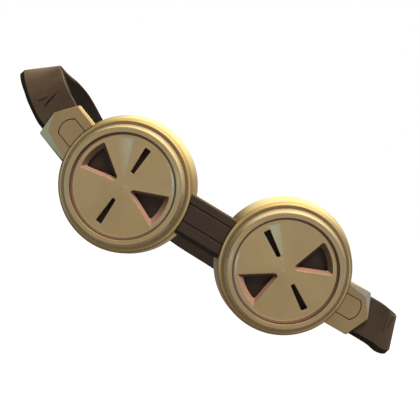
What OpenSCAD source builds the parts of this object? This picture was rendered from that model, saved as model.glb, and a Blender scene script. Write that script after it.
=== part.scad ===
// Costume goggles: two brass eye cups with turning slotted faces, a leather bridge and a leather head strap.
// Row frame in mm: X to the right as seen from the front, Y back into the head, Z up.
// The origin lies midway between the cups, on the plane where the eye pads rest on the face.

/* [Cups] */
// distance between the two cup axes at the bezel faces
cup_spacing = 74.7; // [70:0.1:84]
// outward turn of each cup about the vertical
toe_out = 4.5; // [0:0.5:8]
// barrel depth from the rear rim to the front annulus
barrel_depth = 12; // [11.5:0.5:18]
// width of the annulus between the bezel's foot and the barrel's front edge
annulus_w = 2.6; // [2.2:0.1:3.6]
// how much wider the barrel is at its rear rim than at its front
barrel_flare = 1.1; // [0.4:0.1:1.6]
// rounding of the barrel's front shoulder
shoulder_r = 0.9; // [0.5:0.1:1.2]
// wall of the barrel at its rear rim
barrel_wall = 2.7; // [2.2:0.1:3]
// width of the shelf that the lens stack seats on
shelf_w = 3.2; // [2.6:0.1:4]
// thickness of that shelf
shelf_t = 1.0; // [0.8:0.1:1.6]

/* [Bezels and faces] */
// radius of the round opening in front of the turning face
opening_r = 21.9; // [20.5:0.1:22.4]
// how far the bezel stands proud of the barrel's annulus
bezel_height = 5.0; // [4.6:0.1:6]
// width of the bezel's flat front face
bezel_face_w = 2.2; // [1.6:0.1:2.6]
// width of the bezel's foot outside the barrel's bore
bezel_foot_w = 0.5; // [0.4:0.1:0.9]
// wall of the bezel around the face's recess
bezel_wall = 1.5; // [1.2:0.1:1.9]
// thickness of the bezel's inward lip
lip_t = 1.3; // [1:0.1:1.8]
// how far the lip overlaps the edge of the turning face
lip_overlap = 1.2; // [0.8:0.1:1.6]
// depth of the spigot that holds the bezel in the barrel
spigot_depth = 1.0; // [0.8:0.1:1.4]
// radial running clearance of the turning face
running_gap = 0.05; // [0.02:0.01:0.1]
// thickness of the turning face at its rim
face_rim_t = 2.65; // [2:0.05:2.9]
// depth of the dish below the rim
dish_depth = 1.15; // [0.8:0.05:1.4]
// rise of the shallow cone from the dish to its middle
cone_rise = 1.2; // [0.4:0.1:1.6]

/* [Windows] */
// left face: turn of the slits from upright, as the photograph shows it
left_face_turn = -6.4; // [-180:0.1:180]
// right face: turn of the slits from upright
right_face_turn = -126.1; // [-180:0.1:180]
// place of the first wedge window, counted from the face's own X axis
window_a = 168.7; // [160:0.1:180]
// place of the second wedge window
window_b = 359.5; // [350:0.1:365]
// angle between the straight sides of a wedge window
window_span = 47.5; // [30:0.5:50]
// distance from the bezel's opening to the outer arc of a wedge window
window_margin = 2.55; // [2:0.05:4]
// distance from the centre to the middle of a window's rounded apex
window_apex = 5.3; // [5:0.1:8]
// rounding of a window's apex at the front
window_apex_r = 1.35; // [0.9:0.05:1.6]
// rounding of a window's two outer corners
window_corner_r = 0.6; // [0.2:0.05:1]
// slope of the straight window walls, as inset at the back
window_bevel = 1.2; // [0.4:0.1:1.4]
// slope of the outer window wall, as inset at the back
window_arc_bevel = 2.0; // [0.8:0.1:2.4]
// places of the two slits, counted like the windows
slit_a = 89.4; // [80:0.1:100]
// place of the second slit
slit_b = 268.8; // [260:0.1:280]
// distance from the centre to the inner end of a slit
slit_inner = 6.3; // [5:0.1:8]
// distance from the bezel's opening to the outer end of a slit
slit_margin = 3.8; // [2.6:0.1:5]
// width of a slit at its inner end
slit_inner_w = 1.6; // [1:0.05:2]
// width of a slit at its outer end
slit_outer_w = 2.8; // [2:0.05:3.4]

/* [Lens stack and pads] */
// thickness of the dark lens
lens_t = 1.6; // [1.2:0.1:1.8]
// thickness of each gasket lip over the lens
gasket_lip = 0.4; // [0.3:0.05:0.5]
// how far the gasket grips over the lens edge
gasket_grip = 1.5; // [1:0.1:2]
// wall of the gasket around the lens edge
gasket_wall = 0.85; // [0.6:0.05:1.2]
// wire of the snap ring behind the turning face
snap_wire = 0.9; // [0.7:0.1:1.2]
// gap between the ends of the snap ring
snap_gap = 24; // [10:1:40]
// depth of the eye pad behind the rear rim
pad_depth = 7; // [5:0.5:10]
// radial thickness of the eye pad's cushion
pad_w = 7.6; // [6:0.1:9]
// thickness of the pad's skirt inside the barrel
skirt_t = 1.5; // [1:0.1:1.8]
// length of that skirt
skirt_depth = 2.6; // [2:0.1:2.8]
// thickness of the ring that clamps the skirt
pad_ring_t = 1.1; // [0.8:0.1:1.6]

/* [Side plates] */
// width of a side plate
plate_w = 20.3; // [17:0.1:20.6]
// thickness of a side plate
plate_t = 2.2; // [1.8:0.1:2.8]
// depth of the bevel around a side plate's face
plate_bevel = 0.7; // [0.4:0.1:1.1]
// width of that bevel along the end and the lower edge
plate_bevel_w = 0.3; // [0.2:0.05:0.6]
// width of that bevel along the upper edge
plate_top_bevel = 0.9; // [0.2:0.05:1.4]
// width of the two facets that meet at the left plate's lower corner
left_facet_w = 3.4; // [1.2:0.1:4]
// width of the two facets that meet at the right plate's upper corner
right_facet_w = 2.5; // [1.2:0.1:4]
// how much further out the left plate's lower corner reaches
left_corner_out = 1.6; // [0:0.1:2.4]
// how far the pointed end stands out past the plate's corners
plate_point = 4.4; // [2.5:0.1:6]
// how far the pointed end lies above the plate's middle
plate_point_up = 0.2; // [-2:0.1:2]
// distance from the barrel's front edge to the tip of the left plate
left_plate_out = 14.2; // [13.2:0.1:17]
// distance from the barrel's front edge to the tip of the right plate
right_plate_out = 13.1; // [12.9:0.1:17]
// upward turn of the left plate about the cup's axis
left_plate_turn = 23.5; // [-30:0.1:30]
// upward turn of the right plate about the cup's axis
right_plate_turn = -3; // [-30:0.1:30]
// sideways offset of the left plate from the cup's axis
left_plate_drop = -4.3; // [-5:0.1:5]
// sideways offset of the right plate from the cup's axis
right_plate_drop = -1.1; // [-5:0.1:5]
// distance from the rear rim to the plate's face
plate_face_z = 9.3; // [9:0.1:10]
// thickness of the curved foot that lies on the barrel
foot_t = 1.5; // [1.2:0.1:2]
// half angle of that foot around the barrel
foot_half_angle = 15; // [12:0.5:17]
// width of the engraved tongue on the plate
tongue_w = 9.5; // [8:0.1:12]
// how far the tongue lies above the plate's middle
tongue_up = 0.7; // [-2:0.1:2]
// distance from the barrel's front edge to the ends of the tongue's arc
tongue_out = 6.5; // [4:0.1:7.5]
// how far the tongue's arc bulges past its ends
tongue_bulge = 2.0; // [1:0.1:3]
// width of the engraved line
groove_w = 0.4; // [0.3:0.05:0.8]
// depth of the engraved line
groove_d = 0.45; // [0.2:0.05:0.6]
// thickness of the backing plate behind the strap's end
backing_t = 1.2; // [0.8:0.1:1.6]

/* [Leather] */
// width of the head strap
strap_w = 17.2; // [15:0.1:18.8]
// thickness of the head strap
strap_t = 2.4; // [1.8:0.1:2.8]
// height of the wide bevel along the strap's lower edge
strap_bevel = 2.1; // [0.6:0.1:3]
// width of the bridge band
bridge_w = 17.8; // [15:0.1:18.4]
// thickness of the bridge band
bridge_t = 2.8; // [2.4:0.1:3]
// height of the bevel along the bridge's lower edge
bridge_bevel = 2.0; // [0.6:0.1:3]
// clockwise tilt of the bridge seen from the front
bridge_tilt = 3.6; // [0:0.1:6]
// distance from the rear rim to the bridge's face
bridge_face_z = 10; // [9.8:0.1:10.6]
// thickness of the bridge's tabs on the barrels
tab_t = 2.0; // [1.5:0.1:2.4]
// half angle of a tab around its barrel
tab_half_angle = 15; // [12:0.5:17]

/* [Head strap route] */
// reach of the strap's bend to the left of the middle
loop_left = 93; // [86:0.5:100]
// reach of the strap's bend to the right of the middle
loop_right = 87; // [82:0.5:96]
// distance from the face to the back of the strap
loop_back = 121; // [105:1:140]
// height of the strap's bend on the left
left_rise = 22; // [4:0.5:30]
// height of the strap's bend on the right
right_rise = -6; // [-15:0.5:20]
// height of the strap's middle at the back
back_sag = -22.5; // [-30:0.5:10]
// stations along each half of the strap
strap_steps = 64; // [32:2:80]

/* [Closure] */
// length of the two layers that lie over each other at the back
overlap_l = 52; // [48:1:60]
// length of the keeper band along the strap
keeper_l = 9; // [6:0.5:12]
// wall of the keeper band
keeper_t = 1.2; // [0.8:0.1:1.6]
// clearance between the keeper and the leather
keeper_gap = 0.35; // [0.3:0.05:0.6]
// travel of the keeper each way from rest
keeper_travel = 7; // [4:1:8]
// radius of the closure stud's neck
stud_neck_r = 1.5; // [1.2:0.1:1.8]
// radius of the closure stud's knob
stud_knob_r = 3.2; // [2.6:0.1:3.6]
// distance between the adjusting holes
hole_pitch = 9; // [7:0.5:11]

/* [Rivets] */
// radius of a rivet's shank
rivet_r = 1.2; // [0.8:0.1:1.4]
// radius of a rivet's head
rivet_head_r = 2.0; // [1.7:0.1:2.2]
// height of a rivet's head
rivet_head_h = 0.8; // [0.6:0.1:1]

/* [Hidden] */
// gap left between two pieces that seat on each other
seat_gap = 0.03;
// gap left between leather and the metal that clamps it
leather_gap = 0.05;
half_spacing = cup_spacing / 2;
cup_h = barrel_depth + bezel_height;
cup_front_y = -(cup_h + pad_depth);
curve_fn = 96;

// radii and heights of the cup's stack, counted forward from the barrel's rear rim
face_r = opening_r + lip_overlap;
recess_r = face_r + running_gap;
spigot_r = recess_r + bezel_wall;
seat_r = spigot_r + seat_gap;
bezel_foot_r = seat_r + bezel_foot_w;
barrel_front_r = bezel_foot_r + annulus_w;
barrel_rear_r = barrel_front_r + barrel_flare;
rear_bore_r = barrel_rear_r - barrel_wall;
shelf_r = seat_r - shelf_w;
window_r = opening_r - window_margin;
slit_outer = opening_r - slit_margin;
gasket_h = lens_t + 2 * gasket_lip;
spigot_z = barrel_depth - spigot_depth;
shelf_top = spigot_z - gasket_h;
shelf_bottom = shelf_top - shelf_t;
lip_z = cup_h - lip_t;
face_top = lip_z - running_gap;
face_back = face_top - face_rim_t;
dish_z = face_top - dish_depth;
snap_z = face_back - snap_wire / 2 - running_gap;
lens_r = spigot_r - gasket_wall;
lens_z = shelf_top + gasket_lip;
wall_slope = (barrel_rear_r - barrel_front_r) / (barrel_depth - shoulder_r);
skirt_r = rear_bore_r - seat_gap;
pad_outer_r = rear_bore_r + 1.8;
pad_inner_r = pad_outer_r - pad_w;
pad_round = pad_w * 0.36;

// side plates, the strap ends that they cover, and the rivets
plate_back = plate_face_z - plate_t;
strap_z = plate_back - leather_gap - strap_t / 2;
backing_z = strap_z - strap_t / 2 - leather_gap - backing_t;
rivet_z = (skirt_depth + shelf_bottom) / 2 - 0.5;
rivet_angle = 9;
rivet_clear = 0.03;
foot_end_z = rivet_z - rivet_head_r - 0.6;
foot_outer_r = wall_r(foot_end_z) + seat_gap + foot_t;
strap_rivet_u = foot_outer_r + rivet_head_h + rivet_head_r + 0.7;
strap_rivet_v = plate_w * 0.3;
tongue_reach = barrel_front_r + tongue_out;
strap_start_u = foot_outer_r + rivet_head_h + 0.4;
tab_outer_r = wall_r(foot_end_z) + seat_gap + tab_t;

// bridge between the cups
bridge_y = cup_front_y + (cup_h - bridge_face_z) * cos(toe_out) - wall_r(bridge_face_z) * sin(toe_out);
bridge_z = 0.4;
bridge_groove = [9.3 / 42.9, 27.9 / 42.9];

// outer radius of the barrel's tapered wall at a height above its rear rim
function wall_r(z) = barrel_rear_r - wall_slope * z;

// a point given in one cup's own frame, in the row frame; side is -1 for the left cup and 1 for the right
function cup_point(side, x, y, z) = [
    side * (half_spacing - (cup_h - z) * sin(toe_out)) + x * cos(toe_out),
    cup_front_y + side * x * sin(toe_out) + (cup_h - z) * cos(toe_out),
    y
];
function plate_turn(side) = side < 0 ? left_plate_turn : right_plate_turn;
function plate_drop(side) = side < 0 ? left_plate_drop : right_plate_drop;
function plate_reach(side) = barrel_front_r + (side < 0 ? left_plate_out : right_plate_out);
// a point on a side plate: u runs outward from the cup's axis, v across the plate
function plate_point_at(side, u, v, z) = cup_point(
    side,
    side * (u * cos(plate_turn(side)) - (v + plate_drop(side)) * sin(plate_turn(side))),
    u * sin(plate_turn(side)) + (v + plate_drop(side)) * cos(plate_turn(side)),
    z
);

module at_cup(side)
    translate([side * half_spacing, cup_front_y, 0])
        rotate([0, 0, side * toe_out])
            rotate([90, 0, 0])
                translate([0, 0, -cup_h])
                    children();

// frame of a side plate in its cup's frame: X outward, Y across, Z forward
module at_plate(side)
    at_cup(side)
        mirror([side < 0 ? 1 : 0, 0, 0])
            rotate([0, 0, plate_turn(side)])
                translate([0, plate_drop(side), 0])
                    children();

// cone that follows the barrel's wall at a distance from it
module wall_cone(gap, z0, z1)
    translate([0, 0, z0])
        cylinder(h = z1 - z0, r1 = wall_r(z0) + gap, r2 = wall_r(z1) + gap, $fn = curve_fn);

// curved piece of sheet that lies on the barrel's wall, centred on the X axis
module wall_saddle(gap, t, z0, z1, half_angle)
    rotate([0, 0, -half_angle])
        rotate_extrude(angle = 2 * half_angle, $fn = curve_fn)
            polygon([
                [wall_r(z0) + gap, z0],
                [wall_r(z0) + gap + t, z0],
                [wall_r(z1) + gap + t, z1],
                [wall_r(z1) + gap, z1]
            ]);

// radial holes or rivets along X at the saddle's two rivet angles
module at_rivets(centre)
    for (a = [-rivet_angle, rivet_angle])
        rotate([0, 0, centre + a])
            translate([0, 0, rivet_z])
                rotate([0, 90, 0])
                    children();

module rivet_holes(centre)
    at_rivets(centre)
        translate([0, 0, rear_bore_r - 2])
            cylinder(h = 9, r = rivet_r + rivet_clear, $fn = 32);

// direction of the middle of a plate's foot around its cup, in the plate's frame turned flat
function foot_dir(side) = asin(plate_drop(side) / barrel_rear_r);
// the same direction in the cup's frame
function foot_angle(side) = side < 0
    ? 180 - plate_turn(side) - foot_dir(side)
    : plate_turn(side) + foot_dir(side);
function inner_angle(side) = side < 0 ? 0 : 180;

module barrel(side) {
    difference() {
        rotate_extrude($fn = curve_fn)
            union() {
                polygon([
                    [rear_bore_r, 0],
                    [barrel_rear_r - 0.4, 0],
                    [wall_r(0.4), 0.4],
                    [barrel_front_r, barrel_depth - shoulder_r],
                    [barrel_front_r - shoulder_r, barrel_depth],
                    [seat_r, barrel_depth],
                    [seat_r, shelf_top],
                    [shelf_r, shelf_top],
                    [shelf_r, shelf_bottom],
                    [rear_bore_r, shelf_bottom]
                ]);
                translate([barrel_front_r - shoulder_r, barrel_depth - shoulder_r])
                    circle(r = shoulder_r, $fn = 48);
            }
        rivet_holes(foot_angle(side));
        rivet_holes(inner_angle(side));
    }
}

module bezel()
    rotate_extrude($fn = curve_fn)
        difference() {
            polygon([
                [recess_r, spigot_z],
                [spigot_r, spigot_z],
                [spigot_r, barrel_depth],
                [bezel_foot_r, barrel_depth],
                [bezel_foot_r, barrel_depth + 0.8],
                [opening_r + bezel_face_w, cup_h],
                [opening_r + 0.25, cup_h],
                [opening_r, cup_h - 0.25],
                [opening_r, lip_z],
                [recess_r, lip_z]
            ]);
            translate([recess_r - 1, snap_z - snap_wire / 2 - running_gap])
                square([1 + snap_wire / 2 + running_gap, snap_wire + 2 * running_gap]);
        }

// outline of a wedge window at a depth share: 0 at the front and 1 at the back, where it is smaller
module window_outline(depth) {
    half = window_span / 2;
    inset = depth * window_bevel;
    apex_r = max(0.3, window_apex_r - inset);
    apex_x = window_apex + (inset + apex_r - window_apex_r) / sin(half);
    far = window_r + 8;
    side_y = tan(half) * (far - apex_x) + apex_r / cos(half);
    offset(r = window_corner_r, $fn = 48)
        offset(delta = -window_corner_r)
            intersection() {
                polygon(concat(
                    [for (i = [0 : 8]) let (a = 90 + half + i * (180 - 2 * half) / 8)
                        [apex_x + apex_r * cos(a), apex_r * sin(a)]],
                    [[far, -side_y], [far, side_y]]
                ));
                circle(r = window_r - depth * window_arc_bevel, $fn = curve_fn);
            }
}

// a window's cutter, wider at the front: sloping sides and a sloping outer wall
module window_cutter() {
    t = face_rim_t - dish_depth + cone_rise * 0.3;
    under = 0.2;
    over = 1.2;
    hull() {
        translate([0, 0, face_back - under])
            linear_extrude(0.01)
                window_outline(1 + under / t);
        translate([0, 0, face_back + t + over - 0.01])
            linear_extrude(0.01)
                window_outline(-over / t);
    }
}

module slit_cutter()
    translate([0, 0, face_back - 1])
        linear_extrude(face_rim_t + 2)
            polygon([
                [slit_inner, -slit_inner_w / 2 + 0.3],
                [slit_inner + 0.3, -slit_inner_w / 2],
                [slit_outer - 0.4, -slit_outer_w / 2],
                [slit_outer, -slit_outer_w / 2 + 0.4],
                [slit_outer, slit_outer_w / 2 - 0.4],
                [slit_outer - 0.4, slit_outer_w / 2],
                [slit_inner + 0.3, slit_inner_w / 2],
                [slit_inner, slit_inner_w / 2 - 0.3]
            ]);

// the turning face: a dished disc whose middle rises in a shallow cone
module face_disc(turn) {
    rim_in = opening_r - 0.25;
    floor_r = rim_in - dish_depth;
    rotate([0, 0, turn])
        difference() {
            rotate_extrude($fn = curve_fn)
                difference() {
                    polygon([
                        [0, face_back],
                        [face_r - 0.3, face_back],
                        [face_r, face_back + 0.3],
                        [face_r, face_top],
                        [floor_r, face_top],
                        [floor_r, dish_z],
                        [0, dish_z + cone_rise]
                    ]);
                    translate([floor_r, face_top])
                        circle(r = dish_depth, $fn = 48);
                }
            rotate([0, 0, window_a])
                window_cutter();
            rotate([0, 0, window_b])
                window_cutter();
            for (a = [slit_a, slit_b])
                rotate([0, 0, a])
                    slit_cutter();
        }
}

module snap_ring()
    rotate([0, 0, 90 + snap_gap / 2])
        rotate_extrude(angle = 360 - snap_gap, $fn = curve_fn)
            translate([recess_r, snap_z])
                circle(r = snap_wire / 2, $fn = 24);

module lens()
    translate([0, 0, lens_z])
        rotate_extrude($fn = curve_fn)
            polygon([
                [0, 0],
                [lens_r - 0.2, 0],
                [lens_r, 0.2],
                [lens_r, lens_t - 0.2],
                [lens_r - 0.2, lens_t],
                [0, lens_t]
            ]);

module lens_gasket()
    rotate_extrude($fn = curve_fn)
        difference() {
            translate([lens_r - gasket_grip, shelf_top])
                square([spigot_r - lens_r + gasket_grip, gasket_h]);
            translate([lens_r - gasket_grip - 1, lens_z])
                square([gasket_grip + 1, lens_t]);
        }

// padded ring with a crowned rear edge and a skirt that goes into the barrel
module eye_pad()
    rotate_extrude($fn = curve_fn)
        union() {
            translate([pad_inner_r, -pad_depth + pad_round])
                square([pad_w, pad_depth - pad_round - seat_gap]);
            translate([pad_inner_r + pad_round, -pad_depth])
                square([pad_w - 2 * pad_round, pad_depth - seat_gap]);
            for (x = [pad_inner_r + pad_round, pad_outer_r - pad_round])
                translate([x, -pad_depth + pad_round])
                    circle(r = pad_round, $fn = 48);
            translate([skirt_r - skirt_t, -1])
                square([skirt_t, skirt_depth + 1]);
        }

module pad_ring()
    rotate_extrude($fn = curve_fn)
        translate([skirt_r - skirt_t - seat_gap - pad_ring_t, 0])
            square([pad_ring_t, skirt_depth]);

// which edge of a plate carries the wide facets: the lower one on the left, the upper one on the right
function facet_end(side) = side < 0 ? -1 : 1;
function facet_w(side) = side < 0 ? left_facet_w : right_facet_w;
// where the side plate's end meets its lower (-1) or upper (1) edge
function plate_corner(side, end) = [
    plate_reach(side) - plate_point + (side < 0 && end < 0 ? left_corner_out : 0),
    end * plate_w / 2
];
// width of the bevel along the lower or upper edge
function edge_bevel(side, end) = end > 0 || end == facet_end(side) ? plate_top_bevel : plate_bevel_w;

// outline of a side plate with a shallow pointed end
module plate_outline(side) {
    low = plate_corner(side, -1);
    high = plate_corner(side, 1);
    polygon([
        [barrel_front_r * 0.8, low.y],
        [low.x - 0.6, low.y],
        [low.x, low.y + 0.3],
        [plate_reach(side), plate_point_up],
        [high.x, high.y - 0.3],
        [high.x - 0.6, high.y],
        [barrel_front_r * 0.8, high.y]
    ]);
}

// outline of the plate's flat face, drawn in by the bevels and by the wide facets at one corner
module plate_face_outline(side) {
    far = facet_end(side);
    near_corner = plate_corner(side, -far);
    far_corner = plate_corner(side, far);
    polygon([
        [barrel_front_r * 0.8, near_corner.y + far * edge_bevel(side, -far)],
        [near_corner.x - 0.5, near_corner.y + far * edge_bevel(side, -far)],
        [plate_reach(side) - plate_bevel_w, plate_point_up],
        [far_corner.x - facet_w(side) * 0.5, far_corner.y - far * facet_w(side)],
        [barrel_front_r * 0.8, far_corner.y - far * edge_bevel(side, far)]
    ]);
}

// tongue shape: straight sides and a convex arc at the outer end
module tongue_outline(inset) {
    half = tongue_w / 2 - inset;
    arc_r = (half * half + tongue_bulge * tongue_bulge) / (2 * tongue_bulge);
    union() {
        translate([barrel_front_r * 0.8, -half])
            square([tongue_reach - inset - barrel_front_r * 0.8, 2 * half]);
        intersection() {
            translate([tongue_reach - inset + tongue_bulge - arc_r, 0])
                circle(r = arc_r, $fn = 96);
            translate([tongue_reach - inset - 0.01, -half])
                square([arc_r, 2 * half]);
        }
    }
}

module side_plate(side) {
    difference() {
        union() {
            at_plate(side)
                translate([0, 0, plate_back])
                    hull() {
                        linear_extrude(plate_t - plate_bevel)
                            plate_outline(side);
                        linear_extrude(plate_t)
                            plate_face_outline(side);
                    }
            at_cup(side)
                rotate([0, 0, foot_angle(side)])
                    wall_saddle(-0.5, foot_t + seat_gap + 0.5, foot_end_z, plate_back + 0.6, foot_half_angle);
        }
        at_cup(side)
            wall_cone(seat_gap, -1, barrel_depth + 1);
        at_plate(side)
            translate([0, tongue_up, plate_face_z - groove_d])
                linear_extrude(groove_d + 1)
                    difference() {
                        tongue_outline(0);
                        tongue_outline(groove_w);
                    }
        at_plate(side)
            for (v = [-strap_rivet_v, strap_rivet_v])
                translate([strap_rivet_u, v, plate_back - 1])
                    cylinder(h = 2.1 + rivet_clear, r = rivet_r + rivet_clear, $fn = 32);
        at_cup(side)
            rivet_holes(foot_angle(side));
    }
}

module backing_plate(side)
    at_plate(side)
        difference() {
            translate([strap_start_u + 0.2, -strap_w / 2 + 1, backing_z])
                cube([strap_rivet_u + rivet_head_r + 0.8 - strap_start_u, strap_w - 2, backing_t]);
            for (v = [-strap_rivet_v, strap_rivet_v])
                translate([strap_rivet_u, v, backing_z - 1])
                    cylinder(h = backing_t + 2, r = rivet_r + rivet_clear, $fn = 32);
        }

// rivet along Z: closed head, shank, and a smaller head that is peened over on the other side
module rivet(grip, far_r) {
    cylinder(h = grip, r = rivet_r, $fn = 32);
    translate([0, 0, grip])
        rotate_extrude($fn = 48)
            polygon([
                [0, 0],
                [rivet_head_r, 0],
                [rivet_head_r, rivet_head_h * 0.35],
                [rivet_head_r * 0.6, rivet_head_h],
                [0, rivet_head_h]
            ]);
    if (far_r > 0)
        translate([0, 0, -rivet_head_h * 0.7])
            cylinder(h = rivet_head_h * 0.7, r1 = far_r * 0.7, r2 = far_r, $fn = 48);
}

// rivets through a barrel's wall and the sheet that lies on it
module wall_rivets(side, angle, sheet) {
    inner = rear_bore_r - 0.12;
    outer = wall_r(rivet_z - rivet_head_r) + 2 * seat_gap + sheet;
    at_cup(side)
        at_rivets(angle)
            translate([0, 0, inner])
                rivet(outer - inner, rivet_head_r * 0.9);
}

module plate_rivets()
    for (side = [-1, 1])
        wall_rivets(side, foot_angle(side), foot_t);

module bridge_rivets()
    for (side = [-1, 1])
        wall_rivets(side, inner_angle(side), tab_t);

module strap_rivets()
    for (side = [-1, 1])
        at_plate(side)
            for (v = [-strap_rivet_v, strap_rivet_v])
                translate([strap_rivet_u, v, plate_back + 1])
                    rotate([180, 0, 0])
                        rivet(plate_back + 1 - backing_z + seat_gap, 0);

// leather band between the cups: two long grooves, bevelled lower edge, tabs that lie on the barrels
module bridge_strap() {
    inner_half = half_spacing;
    difference() {
        union() {
            translate([0, bridge_y, bridge_z])
                rotate([0, bridge_tilt, 0])
                    rotate([90, 0, 90])
                        translate([0, 0, -inner_half])
                            linear_extrude(2 * inner_half)
                                bridge_section();
            for (side = [-1, 1])
                at_cup(side)
                    rotate([0, 0, inner_angle(side)])
                        wall_saddle(-0.5, tab_t + seat_gap + 0.5, foot_end_z, bridge_face_z - 1, tab_half_angle);
        }
        for (side = [-1, 1])
            at_cup(side) {
                wall_cone(seat_gap, -1, barrel_depth + bezel_height + 2);
                rivet_holes(inner_angle(side));
            }
    }
}

// section of the bridge band: X back from its face, Y up
module bridge_section() {
    half = bridge_w / 2;
    difference() {
        polygon([
            [0, -half + bridge_bevel],
            [1.5, -half],
            [bridge_t - 0.3, -half],
            [bridge_t, -half + 0.3],
            [bridge_t, half - 0.3],
            [bridge_t - 0.3, half],
            [0.5, half],
            [0, half - 0.5]
        ]);
        for (g = bridge_groove)
            translate([-0.1, half - g * bridge_w - 0.35])
                polygon([[0, -0.1], [0.75, 0.2], [0.75, 0.5], [0, 0.8]]);
    }
}

// straight zone at the back where the two halves of the strap lie over each other
zone_start = [loop_right * 0.324, loop_back * 0.95, back_sag * 1.04];
zone_dir = unit([loop_right * 0.509, -loop_back * 0.223, -back_sag * 0.49]);
zone_end = zone_start + overlap_l * zone_dir;
zone_i = 10;
// height of the strap's right bend, from its front (0) to the back of the loop (1)
function right_z(share) = right_rise + (back_sag - right_rise) * share;
// the route of the strap's middle: ends under the plates, points between in the row frame
route = concat(
    [plate_point_at(-1, strap_start_u, 0, strap_z), plate_point_at(-1, plate_reach(-1) + 0.5, 0, strap_z)],
    [
        [-loop_left * 0.94, -loop_back * 0.008, left_rise * 0.886],
        [-loop_left, loop_back * 0.124, left_rise * 1.055],
        [-loop_left * 0.989, loop_back * 0.364, left_rise * 0.841],
        [-loop_left * 0.865, loop_back * 0.62, left_rise * 0.55],
        [-loop_left * 0.67, loop_back * 0.802, back_sag * 0.09],
        [-loop_left * 0.4, loop_back * 0.934, back_sag * 0.56],
        [-loop_left * 0.14, loop_back, back_sag * 0.94],
        [loop_right * 0.092, loop_back * 0.992, back_sag * 1.04]
    ],
    [zone_start, zone_end],
    [
        [loop_right * 0.978, loop_back * 0.545, right_z(0.33)],
        [loop_right * 1.035, loop_back * 0.347, right_z(0.21)],
        [loop_right * 1.05, loop_back * 0.14, right_z(0.1)],
        [loop_right, loop_back * 0.008, right_z(0)]
    ],
    [plate_point_at(1, plate_reach(1) + 0.5, 0, strap_z), plate_point_at(1, strap_start_u, 0, strap_z)]
);
// how far the strap's upper edge leans in towards the head at each point, in degrees
lean = [0, 0, 24, 56, 40, 15, 4, 0, 0, 0, 0, 0, 5, 10, 12, 8, 0, 0];
last_i = len(route) - 1;

function unit(v) = v / norm(v);
function route_dir(i) =
    i <= 1 ? unit(route[1] - route[0])
    : i >= last_i - 1 ? unit(route[last_i] - route[last_i - 1])
    : i == zone_i || i == zone_i + 1 ? zone_dir
    : unit(route[i + 1] - route[i - 1]);
function ease(s) = s * s * (3 - 2 * s);
// place and direction on the smooth curve through the route's points, at a fractional index
function curve_at(u) =
    let (
        i = min(floor(u), last_i - 1),
        s = u - i,
        l = norm(route[i + 1] - route[i])
    )
    (2 * s * s * s - 3 * s * s + 1) * route[i]
    + (s * s * s - 2 * s * s + s) * l * route_dir(i)
    + (3 * s * s - 2 * s * s * s) * route[i + 1]
    + (s * s * s - s * s) * l * route_dir(i + 1);
function curve_dir(u) = unit(curve_at(min(u + 0.01, last_i)) - curve_at(max(u - 0.01, 0)));
function lean_at(u) =
    let (i = min(floor(u), last_i - 1))
    lean[i] + (lean[i + 1] - lean[i]) * ease(u - i);
// frame of the strap: place, direction across its width, direction out of its outer face
function strap_frame(u) =
    let (
        d = curve_dir(u),
        up = unit([0, 0, 1] - d.z * d),
        out = cross(up, d),
        a = lean_at(u),
        across = cos(a) * up - sin(a) * out
    )
    [curve_at(u), across, cross(across, d)];

// strap section, as [across, out]: wide bevel low on the outer face, small breaks elsewhere
strap_section = [
    [-strap_w / 2 + 0.3, -strap_t / 2],
    [strap_w / 2 - 0.3, -strap_t / 2],
    [strap_w / 2, -strap_t / 2 + 0.5],
    [strap_w / 2, strap_t / 2 - 0.6],
    [strap_w / 2 - 0.5, strap_t / 2],
    [-strap_w / 2 + strap_bevel, strap_t / 2],
    [-strap_w / 2, strap_t / 2 - strap_t * 0.6],
    [-strap_w / 2, -strap_t / 2 + 0.4]
];

// strap between two places of the route; shift moves it out of the route's middle layer
module strap_band(from, to, shift_from, shift_to) {
    n = len(strap_section);
    stations = [for (k = [0 : strap_steps]) station(from, to, k)];
    frames = [for (u = stations) strap_frame(u)];
    shifts = [for (u = stations) layer_shift(u, shift_from, shift_to)];
    points = [for (k = [0 : strap_steps]) for (p = strap_section)
        frames[k][0] + p[0] * frames[k][1] + (p[1] + shifts[k]) * frames[k][2]];
    sides = [for (k = [0 : strap_steps - 1]) for (j = [0 : n - 1]) each [
        [k * n + j, (k + 1) * n + j, (k + 1) * n + (j + 1) % n],
        [k * n + j, (k + 1) * n + (j + 1) % n, k * n + (j + 1) % n]
    ]];
    polyhedron(
        points = points,
        faces = concat(sides, [[for (j = [0 : n - 1]) j]], [[for (j = [n - 1 : -1 : 0]) strap_steps * n + j]])
    );
}
// place of a station on the route; one always falls where the straight zone starts
function station(from, to, k) =
    let (step = (to - from) / strap_steps, u = from + k * step)
    k > 0 && abs(u - zone_i) <= step / 2 ? zone_i : u;
// how far the inner layer lies inside the outer one, fading to nothing past the overlap
function layer_shift(u, start, end) =
    u <= start ? -(strap_t + leather_gap)
    : u >= end ? 0
    : -(strap_t + leather_gap) * (1 - ease((u - start) / (end - start)));

// frame on the straight zone at a distance along it: X along, Y out, Z across
module at_zone(s) {
    f = strap_frame(zone_i + 0.5);
    d = zone_dir;
    p = zone_start + s * d;
    multmatrix([
        [d.x, f[2].x, f[1].x, p.x],
        [d.y, f[2].y, f[1].y, p.y],
        [d.z, f[2].z, f[1].z, p.z],
        [0, 0, 0, 1]
    ])
        children();
}

stud_s = overlap_l * 0.65;
keeper_s = keeper_l / 2 + keeper_travel + 2;

// holes for the rivets under one side plate
module strap_end_holes(side)
    at_plate(side)
        for (v = [-strap_rivet_v, strap_rivet_v])
            translate([strap_rivet_u, v, backing_z - 1])
                cylinder(h = strap_t + backing_t + 3, r = rivet_r + rivet_clear, $fn = 32);

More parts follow.
